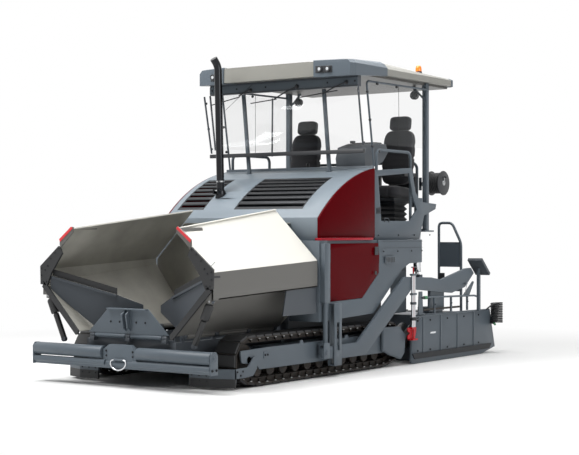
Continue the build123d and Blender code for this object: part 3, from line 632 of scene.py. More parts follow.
def hull(points):
    """Convex outline of (station, z) points, anticlockwise."""
    points = sorted(set(points))

    def half(ordered):
        kept = []
        for p in ordered:
            while len(kept) > 1 and ((kept[-1][0] - kept[-2][0]) * (p[1] - kept[-2][1])
                                     - (kept[-1][1] - kept[-2][1]) * (p[0] - kept[-2][0])) <= 0:
                kept.pop()
            kept.append(p)
        return kept[:-1]
    return half(points) + half(points[::-1])


def track_loop(inset):
    """Outline of the chain: both wheels and the ground line between them."""
    radius = WHEEL_R - inset
    points = [(GROUND_FRONT, inset), (GROUND_REAR, inset)]
    for centre in (IDLER, SPROCKET):
        for i in range(72):
            turn = 2 * pi * i / 72
            points.append((centre[0] + radius * cos(turn), centre[1] + radius * sin(turn)))
    return hull([(round(s, 3), round(z, 3)) for s, z in points])


def spaced(outline, pitch):
    """Evenly spaced places on a closed outline: (station, z, direction) with a pitch close to the given."""
    closed = outline + outline[:1]
    lengths = [hypot(b[0] - a[0], b[1] - a[1]) for a, b in zip(closed, closed[1:])]
    count = round(sum(lengths) / pitch)
    step = sum(lengths) / count
    places, run, index = [], 0.0, 0
    for k in range(count):
        target = k * step
        while run + lengths[index] < target:
            run += lengths[index]
            index += 1
        share = (target - run) / lengths[index]
        a, b = closed[index], closed[index + 1]
        places.append((a[0] + (b[0] - a[0]) * share, a[1] + (b[1] - a[1]) * share))
    out = []
    for k, (s, z) in enumerate(places):
        before, after = places[k - 1], places[(k + 1) % count]
        out.append((s, z, atan2(after[1] - before[1], after[0] - before[0])))
    return out


def track_piece(name, side):
    """One chain: bolted rubber-faced shoes on linked forgings, as it runs over wheels and ground."""
    piece = Piece(name)
    inner, outer = sorted((side * TRACK_IN, side * TRACK_OUT))
    pitch = bpy.context.scene.paver_sizes.shoe_pitch * 1000
    middle = (inner + outer) / 2
    for s, z, turn in spaced(track_loop(5), pitch):
        along, inward = (cos(turn), sin(turn)), (-sin(turn), cos(turn))

        def at(x, a, b):
            return (x, s + along[0] * a + inward[0] * b, z + along[1] * a + inward[1] * b)

        def slab(x0, x1, a0, a1, b0, b1, finish, taper=0):
            """Cuboid on the shoe: a runs along the chain, b into the loop; its outer face tapers."""
            near = [at(x0 + taper, a0 + taper, b0), at(x1 - taper, a0 + taper, b0),
                    at(x1 - taper, a1 - taper, b0), at(x0 + taper, a1 - taper, b0)]
            far = [at(x0, a0, b1), at(x1, a0, b1), at(x1, a1, b1), at(x0, a1, b1)]
            piece.add(near + far, [[3, 2, 1, 0], [4, 5, 6, 7], [0, 1, 5, 4], [1, 2, 6, 5], [2, 3, 7, 6],
                                   [3, 0, 4, 7]], finish)
        half = pitch / 2
        slab(inner + 8, outer - 8, -half + 7, half - 9, 0, 20, "rubber", taper=6)
        slab(inner, outer, -half + 2, half - 12, 20, 32, "cast")
        slab(inner, outer, half - 14, half + 2, 12, 26, "cast")
        for x in (middle - 62, middle + 36):
            slab(x, x + 26, -half - 8, half + 4, 32, 84, "cast", taper=2)
        for x in (inner + 26, outer - 26):
            piece.lathe(at(x, 0, 32), Vector(at(0, 0, 1)) - Vector(at(0, 0, 0)), [(0, 13), (9, 13), (11, 10)],
                        "zinc", 6)
        piece.rod(at(middle - 80, half, 58), at(middle + 80, half, 58), 19, "cast", 10)
    return piece


# (station, height) round one side plate of the track frame
FRAME_SIDE = [(615, 276), (883, 236), (943, 184), (3560, 184), (3760, 236), (3760, 356), (3560, 417),
              (2730, 417), (2710, 453), (2670, 453), (2650, 417), (1785, 417), (1765, 453), (1725, 453),
              (1705, 417), (1103, 417), (595, 406), (595, 366)]
GUARD_LINE = [(660, 348), (940, 348), (1200, 458)]      # (x, station) of the scraper's carrier
DISC_R = 168                    # idler and sprocket discs, inside the chain
ROLLER_FIRST, ROLLER_PITCH, ROLLER_COUNT = 990, 244, 11


def undercarriage(name):
    """Wheels, side plates of the frame, and the scraper's carrier with its rubber, on both sides."""
    under = Piece(name)
    disc = [(0, DISC_R - 40), (0, DISC_R), (25, DISC_R), (25, DISC_R - 40)]
    for centre in (IDLER, SPROCKET):
        for x in (975, 1064):
            under.lathe((x, *centre), (1, 0, 0), disc, "cast", 40)
        under.lathe((1000, *centre), (1, 0, 0), [(0, DISC_R - 14), (64, DISC_R - 14)], "cast", 40)
        under.rod((900, *centre), (1172, *centre), 40, "cast", 24)
    roller = [(0, 50), (0, 78), (40, 78), (40, 70), (100, 70), (100, 78), (140, 78), (140, 50)]
    for k in range(ROLLER_COUNT):
        under.lathe((962, ROLLER_FIRST + k * ROLLER_PITCH, 176), (1, 0, 0), roller, "cast", 28)
    for x0, x1 in ((892, 910), (1154, 1172)):
        under.along_x(FRAME_SIDE, x0, x1, "paint")
    under.block(910, 1154, 1130, 3540, 393, 417, "paint")
    for low, high, near, far, finish in ((118.3, 221, 0, 20, "paint"), (20, 118, 0, 20, "rubber"),
                                         (68, 181, 20.3, 28, "slate")):
        for (x0, s0), (x1, s1) in zip(GUARD_LINE, GUARD_LINE[1:]):
            ring = [(x0, s0 + near), (x1, s1 + near), (x1, s1 + far), (x0, s0 + far)]
            under.prism([(x, s, low) for x, s in ring], (0, 0, high - low), finish)
    arm = [(458, 118.3), (458, 221), (685, 229), (790, 331), (853, 331), (853, 201), (784, 129),
           (637, 118.3)]
    under.along_x(arm, 1188, 1200, "paint")
    under.block(1172, 1188, 785, 845, 261, 321, "paint")
    for s, z in ((500, 190), (600, 190), (560, 150)):
        under.bolt((1200, s, z), (1, 0, 0), 16)
    for x in (700, 800, 900):
        for z in (150, 90):
            under.bolt((x, 348, z), (0, -1, 0), 15)
    # tension lock and drain boss on the outer plate
    under.block(1172, 1180, 1010, 1100, 300, 372, "paint")
    for s in (1032, 1078):
        under.bolt((1180, s, 336), (1, 0, 0), 18)
    under.mirror()
    return under


class PAVER_OT_tracks(bpy.types.Operator):
    """Chains of bolted shoes in place of the plain loops, with wheels, side plates and scrapers"""
    bl_idname = "paver.tracks"
    bl_label = "Tracks"

    def execute(self, context):
        for name, side in (("left", 1), ("right", -1)):
            chain = track_piece("track_chain_" + name, side).build("root", "track_iron", sharp=25)
            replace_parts(chain, "track_" + name)
        under = undercarriage("undercarriage").build("root", "machine_grey", edge=2, sharp=30)
        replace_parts(under, "track_wheels", "track_frames", "track_scraper_plates", "track_scraper_rubbers")
        return {"FINISHED"}


# ---------------------------------------------------------------- hopper
HINGE_GAPS = [(310, 780), (860, 1370), (1450, 1890)]
# rubber guard at the wing's front edge, as (x, height)
GUARD = [(932, 1494), (962, 1526), (1248, 1296), (1242, 1090), (1142, 1080), (1072, 1225), (906, 1440)]
GUARD_BOLTS = [(1226, 1268), (1226, 1190), (1200, 1120), (1150, 1120), (1130, 1300), (1170, 1252),
               (1085, 1385), (1020, 1450), (960, 1500)]
# apron, as (share of its run from the side inwards, height), and the way its face looks back
APRON = [(0, 1030), (0, 1190), (0.715, 980), (1, 870), (1, 790), (0.6, 620), (0.47, 630)]
APRON_BACK = Vector((0.4116, 0.9114, 0))


def inward(points, t):
    """The same open outline moved square to itself by t, towards the hopper's middle."""
    moved = []
    for i, (x, z) in enumerate(points):
        legs = list(zip(points[max(i - 1, 0):i + 1], points[max(i - 1, 0) + 1:i + 2]))
        normals = [((a[1] - b[1]) / hypot(b[0] - a[0], b[1] - a[1]),
                    (b[0] - a[0]) / hypot(b[0] - a[0], b[1] - a[1])) for a, b in legs]
        nx, nz = (sum(n[k] for n in normals) / len(normals) for k in (0, 1))
        scale = t / (nx * nx + nz * nz)
        moved.append((x + nx * scale, z + nz * scale))
    return moved


def apron_point(share, z, off=0.0):
    """Point on the apron: share of its run from the side inwards, height, distance behind its middle."""
    return (1124 - 994 * share + APRON_BACK.x * off, 65 + 449 * share + APRON_BACK.y * off, z)


def wing_piece(name):
    """Left wing: folded shell, skirt, apron, rubber guard, red marker, rear panel and hinge tube."""
    wing = Piece(name)
    for low, high, outside in ((0, 8, True), (8.2, 14, False)):
        near = [inward(FRONT_FOLDS, t) for t in (low, high)]
        far = [inward(REAR_FOLDS, t) for t in (low, high)]
        # the underside from hinge to knee and the band up to the crease take the mid grey, painted shade of
        # the white; the upper panel takes the white
        for i, finish in enumerate(("band", "band", "white")):
            ring = [near[0][i], near[0][i + 1], near[1][i + 1], near[1][i]]
            end = [far[0][i], far[0][i + 1], far[1][i + 1], far[1][i]]
            wing.loft([(x, WING_FRONT, z) for x, z in ring], [(x, WING_REAR, z) for x, z in end],
                      finish if outside else "hopper")
    (fx, fz), (rx, rz) = FRONT_FOLDS[3], REAR_FOLDS[3]
    lip = ((-12, -4), (16, -8), (20, 6), (-8, 10))
    wing.loft([(fx + dx, WING_FRONT, fz + dz) for dx, dz in lip],
              [(rx + dx, WING_REAR, rz + dz) for dx, dz in lip], "white")
    # outer plates of the band in the mid grey: painted shade of the white on these upright faces
    wing.along_x([(WING_FRONT, 972), (WING_REAR, 1051), (WING_REAR, 1345), (WING_FRONT, 1253)], 1208, SIDE_X,
                 "band")
    wing.along_x([(155, 977), (WING_REAR, 1051), (WING_REAR, 1065), (155, 991)], 1182, SIDE_X, "band")
    wing.along_x([(1330, 745), (WING_REAR, 745), (WING_REAR, 1060), (1400, 1040)], 1192, 1206, "slate")
    wing.along_y([(1070, 972), (SIDE_X, 972), (SIDE_X, 1110), (1209, 1110)], WING_FRONT, 59, "band")
    for off, depth, finish in ((-7, 8, "slate"), (1.2, 6, "pale")):
        outline = [apron_point(t, z, off) for t, z in APRON]
        wing.prism(outline, APRON_BACK * depth, finish)
    strip = [apron_point(t, z, 7.4) for t, z in ((0.02, 1188), (0.02, 1262), (0.715, 1052), (0.715, 980))]
    wing.prism(strip, APRON_BACK * 14, "rubber")
    tube = [apron_point(t, z, -7.4) for t, z in ((0.02, 1186), (0.02, 1160), (0.715, 950), (0.715, 976))]
    wing.prism(tube, APRON_BACK * -24, "slate")
    wing.along_y(GUARD, 21, 44.7, "rubber")
    wing.along_y([(668, 542), (698, 538), (1219, 1064), (1179, 1116), (662, 588)], 21, 44.7, "rubber")
    plate = [(748, 1680), (748, 1738), (772, 1742), (950, 1604), (950, 1540), (934, 1510)]
    wing.along_y(plate, 28, 44.7, "band")
    wing.along_y([(748, 1722), (770, 1744), (954, 1602), (940, 1572)], 22, 27.7, "marker")
    wing.along_y([(748, 1712), (748, 1732), (782, 1732), (796, 1698)], WING_FRONT, 425, "band")
    for x, z in GUARD_BOLTS:
        wing.bolt((x, 21, z), (0, -1, 0), 15)
    for share in (0.08, 0.3, 0.52, 0.68):
        wing.bolt(apron_point(share, 1224 - 294 * share, 21.6), APRON_BACK, 15)
    x, z = WING_HINGE
    web = [(x, 552), (690, 580), (680, 592), (x, 572)]
    for start, end in HINGE_GAPS:
        wing.rod((x, start, z), (x, end, z), 29, "band", 20)
        wing.along_y(web, start, end, "band")
    # latch and lashing eye at the front corner, lug of the cylinder
    wing.block(1223, 1229, 66, 168, 1206, 1226, "plastic")
    wing.rod((1165, 92, 1330), (1196, 120, 1372), 7, "zinc", 12)
    for station in (62, 116):
        wing.along_y([(1139, 934), (1187, 934), (1187, 1110), (1139, 1060)], station, station + 12, "band")
    wing.rod((1165, 60, 960), (1165, 130, 960), 12, "zinc")
    return wing


class PAVER_OT_hopper(bpy.types.Operator):
    """Wings with their rubber guards and aprons, lifting cylinders and the front flap's bolts"""
    bl_idname = "paver.hopper"
    bl_label = "Hopper"

    def execute(self, context):
        for name, side in (("left", 1), ("right", -1)):
            wing = wing_piece("hopper_wing_" + name)
            if side < 0:
                wing.turn_over()
            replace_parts(wing.build("wing_" + name, "hopper_white", edge=1.5), "wing_" + name)

            low, top = Vector((side * 940, 95, 480)), Vector((side * 1165, 95, 960))
            way = (top - low).normalized()
            ram = Piece("wing_cylinder_" + name)
            body = [(k, 33 if k < 290 else 17) for k in range(0, 500, 10)]
            sleeve = [(0, 38), (0, 45), (8, 49), (150, 49), (165, 44), (176, 30)]
            ram.lathe(low + way * 20, way, body, "gloss_rubber", 20)
            ram.lathe(low + way * 318, way, sleeve, "rubber", 20)
            for spot in (low, top):
                ram.rod(spot - Vector((0, 20, 0)), spot + Vector((0, 20, 0)), 31, "slate", 20)
            made = ram.build(None, "black_rubber")
            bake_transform(made)

        flap = Piece("flap_fittings")
        for x in (-250, -120, 120, 250):
            flap.bolt((x, 108, 700), (0, -1, 0), 16)
        flap.build("front_flap", "machine_grey")
        return {"FINISHED"}


# ---------------------------------------------------------------- canopy
ROOF_FRONT, ROOF_BEND, ROOF_REAR, ROOF_HALF = 2690, 3540, 5350, 1187
ROOF_CROWN = 3795
NOSE_DROP = 64                  # fall of the underside from the bend to the front
FRONT_FALL, REAR_FALL = 42, 64  # fall of the crown from the caps' rear edge to front and rear
# (station, half width) of the roof from front to rear
ROOF_PLAN = [(ROOF_FRONT, 700), (2794, 1147), (2860, ROOF_HALF), (ROOF_BEND, ROOF_HALF),
             (CAP_REAR, ROOF_HALF), (TAIL_CAP, ROOF_HALF), (5290, ROOF_HALF), (ROOF_REAR, 1127)]
LAMP_RIM = [(0, 36), (10, 38), (12, 33), (10, 31)]      # (depth, radius) of a work lamp's rim
LAMP_GLASS = [(0, 31), (6, 28), (10, 16)]
SCREEN_X = 1119                 # plane of the side screens' tubes
SCREEN_KNOBS = [(3445, 3515), (3913, 3513), (3215, 3399), (3275, 3059), (3336, 2735), (3487, 2679)]
# pivot, end of the arm, both ends of the blade, as (x, height)
WIPERS = [((-474, 3485), (-647, 3424), (-640, 3411), (-1090, 3328)),
          ((250, 3492), (-86, 3356), (-60, 3352), (-465, 3318)),
          ((980, 3502), (640, 3380), (855, 3411), (305, 3355))]
WIPER_FACE = 2984               # station of the header's front, which carries the wipers


def roof_section(station, half, inner=None, grow=0):
    """Outline of the roof at a station, from its middle or from inner outwards to the left edge."""
    bottom = ROOF_LOW - NOSE_DROP * max(0, ROOF_BEND - station) / (ROOF_BEND - ROOF_FRONT)
    crown = ROOF_CROWN - (FRONT_FALL * (CAP_REAR - station) / (CAP_REAR - ROOF_FRONT)
                          if station < CAP_REAR
                          else REAR_FALL * (station - CAP_REAR) / (ROOF_REAR - CAP_REAR))
    shoulder = min(3759, crown - 6)
    start = 0 if inner is None else inner
    points = [(start, bottom - grow), (half + grow, bottom - grow),
              (half + grow, min(3709, crown - 20) + grow),
              (max(start + 4, half - 40 + grow), shoulder + grow),
              (max(start + 2, half - 100), crown + grow), (start, crown + grow)]
    if inner is None:
        points = points[1:5] + [(-x, z) for x, z in points[1:5][::-1]]
    return [(x, station, z) for x, z in points]


class PAVER_OT_canopy(bpy.types.Operator):
    """Crowned roof with corner caps and lamps, header, side screens, wipers and beacon"""
    bl_idname = "paver.canopy"
    bl_label = "Canopy"

    def execute(self, context):
        roof = Piece("roof_shell")
        plan = [(2704, 705)] + ROOF_PLAN[1:6]
        for (s0, w0), (s1, w1) in zip(plan, plan[1:]):
            roof.loft(roof_section(s0, w0), roof_section(s1, w1), "roof")
        for (s0, w0), (s1, w1) in zip(ROOF_PLAN[5:], ROOF_PLAN[6:]):
            roof.loft(roof_section(s0, w0, None, 4), roof_section(s1, w1, None, 4), "paint")
        caps = Piece("roof_corner_caps")
        for (s0, w0), (s1, w1) in zip(ROOF_PLAN[:4], ROOF_PLAN[1:5]):
            caps.loft(roof_section(s0, w0, CAP_X, 9), roof_section(s1, w1, CAP_X, 9), "paint")
        pocket = [(722, 2688, 3606), (930, 2736, 3606), (930, 2764, 3606), (722, 2716, 3606)]
        caps.prism(pocket, (0, 0, 84), "plastic")
        for x, station in ((776, 2694), (878, 2716)):
            caps.lathe((x, station, 3652), (0, -1, 0), LAMP_RIM, "plastic", 28)
            caps.lathe((x, station - 1, 3652), (0, -1, 0), LAMP_GLASS, "lens", 28)
        caps.mirror()
        roof.block(-1100, 1100, 3060, 5300, 3600, 3628, "band")
        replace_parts(roof.build("root", "roof_grey", edge=4, sharp=20), "canopy_roof")
        caps.build("root", "machine_grey", edge=4, sharp=20)

        header = Piece("canopy_header_box")
        header.along_x([(2990, 3452), (3060, 3452), (3060, 3592), (2990, 3586)], -1140, 1140, "slate")
        header.block(-1140, 1140, WIPER_FACE, 2990, 3470, 3560, "paint")
        for x in (-1100, -700, -240, 240, 700, 1100):
            header.bolt((x, WIPER_FACE, 3515), (0, -1, 0), 16)
        for side in (-1, 1):
            header.lathe((side * 930, 4680, 3480), (0, 1, 0), [(0, 40), (8, 56), (60, 56), (68, 44)],
                         "plastic", 24)
            header.block(side * 918, side * 942, 4700, 4724, 3530, 3602, "slate")
            header.rod((side * 1095, 4719, 3397), (side * 900, 4719, 3600), 13, "paint")
            header.block(side * 1063, side * 1127, 4681, 4687, 3560, 3620, "paint")
        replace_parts(header.build("root", "machine_grey", edge=2), "canopy_header")

        screens = Piece("side_screens")
        frames = Piece("side_screen_tubes")
        for side in (-1, 1):
            x0, x1 = sorted((side * 1099, side * 1104))
            screens.along_x([(3362, 2770), (3216, 3500), (4687, 3520), (4687, 2770)], x0, x1, "glass")
            x = side * SCREEN_X
            loop = [(x, 3392, 2500), (x, 3350, 2752), (x, 3218, 3533), (x, 4690, 3545)]
            frames.tube(rounded_path(loop, 60), 13, "paint", 12)
            frames.rod((side * 1140, 2992, 3451), (side * 1140, 3105, 2745), 12, "slate")
            knob = [(0, 10), (10, 10), (12, 17), (26, 17), (30, 12)]
            for s, z in SCREEN_KNOBS:
                frames.lathe((x, s, z), (side, 0, 0), knob, "plastic", 14)
            seal = [(side * 1130, 3969, 3540), (side * 1132, 3972, 3100), (side * 1130, 3969, 2700)]
            frames.tube(seal, 3, "rubber", 6)
        frames.rod((-1140, 2872, 3430), (-1140, 3025, 2700), 12, "slate")
        frames.rod((-1122, 4357, 3520), (-1122, 4345, 2718), 12, "slate")
        for s, z in ((2983, 3346), (3035, 3019), (3097, 2760)):
            frames.lathe((-1140, s - 60, z), (-1, 0, 0), [(0, 14), (14, 17), (24, 12)], "plastic", 14)
        screens.build("root", "clear_glass")
        frames.build("root", "machine_grey")

        wipers = Piece("windscreen_wipers")
        for pivot, elbow, first, last in WIPERS:
            front = WIPER_FACE - 22
            boss = [(0, 26), (8, 26), (12, 20), (30, 18), (34, 12)]
            wipers.lathe((pivot[0], WIPER_FACE, pivot[1]), (0, -1, 0), boss, "plastic", 24)
            bend = ((pivot[0] + elbow[0]) / 2, front - 8, (pivot[1] + elbow[1]) / 2 + 6)
            wipers.tube([(pivot[0], front, pivot[1]), bend, (elbow[0], front, elbow[1])], 9, "plastic", 8)
            wipers.tube([(first[0], front + 8, first[1]), (last[0], front + 8, last[1])], 7, "plastic", 8)
        wipers.tube([(-447, 2975, 3560), (-650, 2975, 3410), (-874, 2975, 3250)], 2.5, "rubber", 6)
        wipers.build("root", "black_plastic")

        beacon = Piece("beacon_lamp")
        foot = (1000, 4700, 3756)
        beacon.lathe(foot, (0, 0, 1), [(0, 52), (10, 52), (14, 46), (34, 44)], "plastic", 28)
        dome = [(34 + 56 * sin(k * pi / 16), 41 * cos(k * pi / 16) ** 0.7 if k < 8 else 1) for k in range(9)]
        dome = [(34, 41), (60, 41)] + [(26 + along, radius) for along, radius in dome]
        beacon.lathe(foot, (0, 0, 1), dome, "beacon", 28)
        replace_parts(beacon.build("root", "beacon_orange", sharp=40), "beacon")
        return {"FINISHED"}


# ---------------------------------------------------------------- exhaust
EXHAUST_LEAN = (-0.027, 0, 1)
EXHAUST_PIN = (2384, 2194)      # (station, height) of the pin on which it folds


class PAVER_OT_exhaust(bpy.types.Operator):
    """Leaning exhaust pipe with a bent mouth, its clamp and the bracket on which it folds"""
    bl_idname = "paver.exhaust"
    bl_label = "Exhaust"

    def execute(self, context):
        stack = Piece("exhaust_pipe")
        path = rounded_path([(-561, 2470, 2182), (-603, 2470, 3752), (-624, 2408, 3846)], 80, 8)
        stack.tube(path, 48, "exhaust", 28)
        collar, band = [(0, 46), (0, 56), (26, 56), (26, 46)], [(0, 47), (0, 53), (18, 53), (18, 47)]
        stack.lathe((-561, 2470, 2180), EXHAUST_LEAN, collar, "exhaust", 28)
        stack.lathe((-564, 2470, 2300), EXHAUST_LEAN, band, "zinc", 28)
        stack.block(-578, -542, 2384, 2430, 2186, 2222, "exhaust")
        stack.bolt((-546, 2416, 2309), (0.6, -0.8, 0), 14)
        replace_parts(stack.build("exhaust_stack", "exhaust_steel", sharp=40), "exhaust_stack")
        base = Piece("exhaust_bracket")
        base.rod((-600, *EXHAUST_PIN), (-520, *EXHAUST_PIN), 9, "zinc")
        for x, way in ((-520, 1), (-600, -1)):
            base.bolt((x, *EXHAUST_PIN), (way, 0, 0), 18)
        base.build("root", "bare_steel")
        return {"FINISHED"}


# ---------------------------------------------------------------- seats and platform
def cushion(name, centre, half, lean, channels):
    """Crowned foam cushion with channels sewn across its front, leaning back by lean degrees."""
    made = bmesh.new()
    bmesh.ops.create_cube(made, size=2.0)
    bmesh.ops.subdivide_edges(made, edges=made.edges, cuts=27, use_grid_fill=True)
    turn = Matrix.Rotation(radians(-lean), 3, "X")
    for vertex in made.verts:
        u, v, w = vertex.co
        round_off = (abs(u) ** 5 + abs(v) ** 5 + abs(w) ** 5) ** 0.2
        p = Vector((u, v, w)) / max(round_off, 0.01)
        seam = min((abs(p[channels[0]] - at) for at in channels[1]), default=1)
        p *= 1 - 0.07 * max(0, 1 - seam / 0.07)
        p = Vector((p.x * half[0], p.y * half[1] * (1 - 0.12 * abs(w) ** 4), p.z * half[2]))
        vertex.co = place(*(Vector(centre) + turn @ p))
    mesh = bpy.data.meshes.new(name)
    made.to_mesh(mesh)
    made.free()
    mesh.materials.append(FINISH["cover"])
    mesh.shade_smooth()
    pad = bpy.data.objects.new(name, mesh)
    bpy.context.collection.objects.link(pad)
    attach(pad, "root")
    return pad


REEL = (5120, 2330)             # (station, height) of the hose reel's axle
REEL_TURNS, REEL_R = 7, 128


class PAVER_OT_seats(bpy.types.Operator):
    """Two operators' seats with sewn cushions, armrests and bellows"""
    bl_idname = "paver.seats"
    bl_label = "Seats"

    def execute(self, context):
        for name, side in (("left", 1), ("right", -1)):
            x = side * SEAT_X
            base = cushion("seat_base_" + name, (x, 4370, 2190), (240, 245, 85), 4, (0, (-0.55, 0.55)))
            back = cushion("seat_back_" + name, (x, 4612, 2660), (222, 75, 360), 8,
                           (2, (-0.45, 0.0, 0.45)))
            head = cushion("seat_head_" + name, (x, 4668, 3110), (150, 52, 95), 8, (2, ()))
            shell = Piece("seat_shell_" + name)
            shell.block(x - 205, x + 205, 4150, 4580, 2081, 2116, "plastic")
            shell.block(x - 180, x + 180, 4660, 4680, 2150, 2900, "plastic")
            for dx in (-55, 55):
                shell.rod((x + dx, 4655, 2940), (x + dx, 4668, 3050), 8, "chrome", 12)
            for way in (-1, 1):
                arm = x + way * 268
                shell.block(arm - 30, arm + 30, 4260, 4590, 2400, 2444, "plastic")
                shell.block(arm - 12, arm + 12, 4560, 4610, 2160, 2402, "plastic")
                foot = x + way * 200
                shell.block(min(foot, arm), max(foot, arm), 4560, 4610, 2160, 2200, "plastic")
            lever = x - side * 268
            shell.tube(smooth_path([(lever, 4300, 2442), (lever, 4298, 2500), (lever, 4285, 2560)]), 9,
                       "plastic")
            knob = [(0, 12), (10, 22), (40, 24), (52, 12)]
            shell.lathe((lever, 4284, 2556), (0, -0.2, 1), knob, "plastic", 16)
            made = shell.build("root", "black_plastic", edge=9)
            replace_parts(made, "seat_" + name)
            for pad in (base, back, head):
                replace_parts(pad, "seat_" + name)
        bellows = Piece("seat_bellows")
        folds = [[(SEAT_X + dx * half, 4380 + dy * (half - 20), 1742 + k * 34)
                  for dx, dy in ((-1, -1), (1, -1), (1, 1), (-1, 1))]
                 for k, half in enumerate([150, 178] * 5)]
        for low, top in zip(folds, folds[1:]):
            bellows.loft(low, top, "rubber")
        bellows.block(555, 935, 4200, 4580, 1701, 1742, "plastic")
        bellows.block(560, 930, 4200, 4570, 2048, 2080, "plastic")
        bellows.mirror()
        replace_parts(bellows.build("root", "bellows", edge=3), "seat_pedestals")
        return {"FINISHED"}


class PAVER_OT_platform(bpy.types.Operator):
    """Console, its steering desk, hose reel and the platform's small fittings"""
    bl_idname = "paver.platform"
    bl_label = "Platform"

    def execute(self, context):
        desk = Piece("operator_desk")
        outline = [(3400, 2502), (3380, 2600), (3430, 2740), (3660, 2800), (3890, 2790), (3940, 2690),
                   (3820, 2570), (3640, 2502)]
        desk.along_x(outline, 560, 990, "grey_plastic")
        desk.block(640, 910, 3372, 3620, 1701, 2504, "slate")
        desk.block(600, 950, 3700, 3850, 2800, 2812, "screen")
        desk.rod((700, 3560, 2796), (700, 3560, 2828), 34, "plastic", 24)
        desk.rod((860, 3560, 2796), (860, 3560, 2816), 20, "plastic", 24)
        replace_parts(desk.build("root", "black_plastic", edge=22, sharp=50), "operator_console")

        reel = Piece("water_hose_reel")
        s, z = REEL
        flange = [(0, 36), (0, 158), (3, 163), (9, 163), (12, 158), (12, 36)]
        reel.block(930, 950, 4860, 5160, 2290, 2340, "paint")
        reel.block(910, 950, 4860, 4872, 2230, 2400, "paint")
        reel.rod((950, s, z), (1150, s, z), 34, "zinc", 24)
        for x in (952, 1132):
            reel.lathe((x, s, z), (1, 0, 0), flange, "plastic", 48)
        wound = context.scene.paver_sizes.hose_wound * 1000 / 2
        for k in range(REEL_TURNS):
            x = 978 + k * 2 * (wound + 0.6)
            reel.tube([(x, s + REEL_R * cos(i * pi / 18), z + REEL_R * sin(i * pi / 18)) for i in range(37)],
                      wound, "rubber", 10)
        reel.block(1146, 1156, 5112, 5128, 2330, 2420, "zinc")
        reel.rod((1156, 5120, 2410), (1188, 5120, 2410), 11, "plastic", 16)
        reel.build("root", "black_rubber", sharp=45)

        fittings = Piece("platform_fittings")
        vent = [(3375, 1905), (3470, 1905), (3470, 1990), (3375, 1975)]
        fittings.along_x(vent, PANEL_X, PANEL_X + 6, "plastic")
        for s in (3388, 3410, 3432, 3454):
            fittings.block(1171, 1175, s - 4, s + 4, 1915, 1968, "slate")
        handle = [(1172, 3560, 1800), (1172, 3560, 1850), (1172, 3660, 1850), (1172, 3660, 1800)]
        fittings.tube(rounded_path(handle, 14), 5, "slate", 8)
        for s in (3420, 3900, 4300, 4700):
            fittings.bolt((PANEL_X, s, 1640), (1, 0, 0), 15)
        fittings.mirror()
        fittings.build("root", "machine_grey", edge=1.5)
        return {"FINISHED"}


# ---------------------------------------------------------------- screed
SPINDLE = 4062                  # station of the end gates' height spindle
COIL, COIL_R, HOSE_R = (1328, 6298), 76, 11     # (x, station) of the coiled hose's axis, its radii


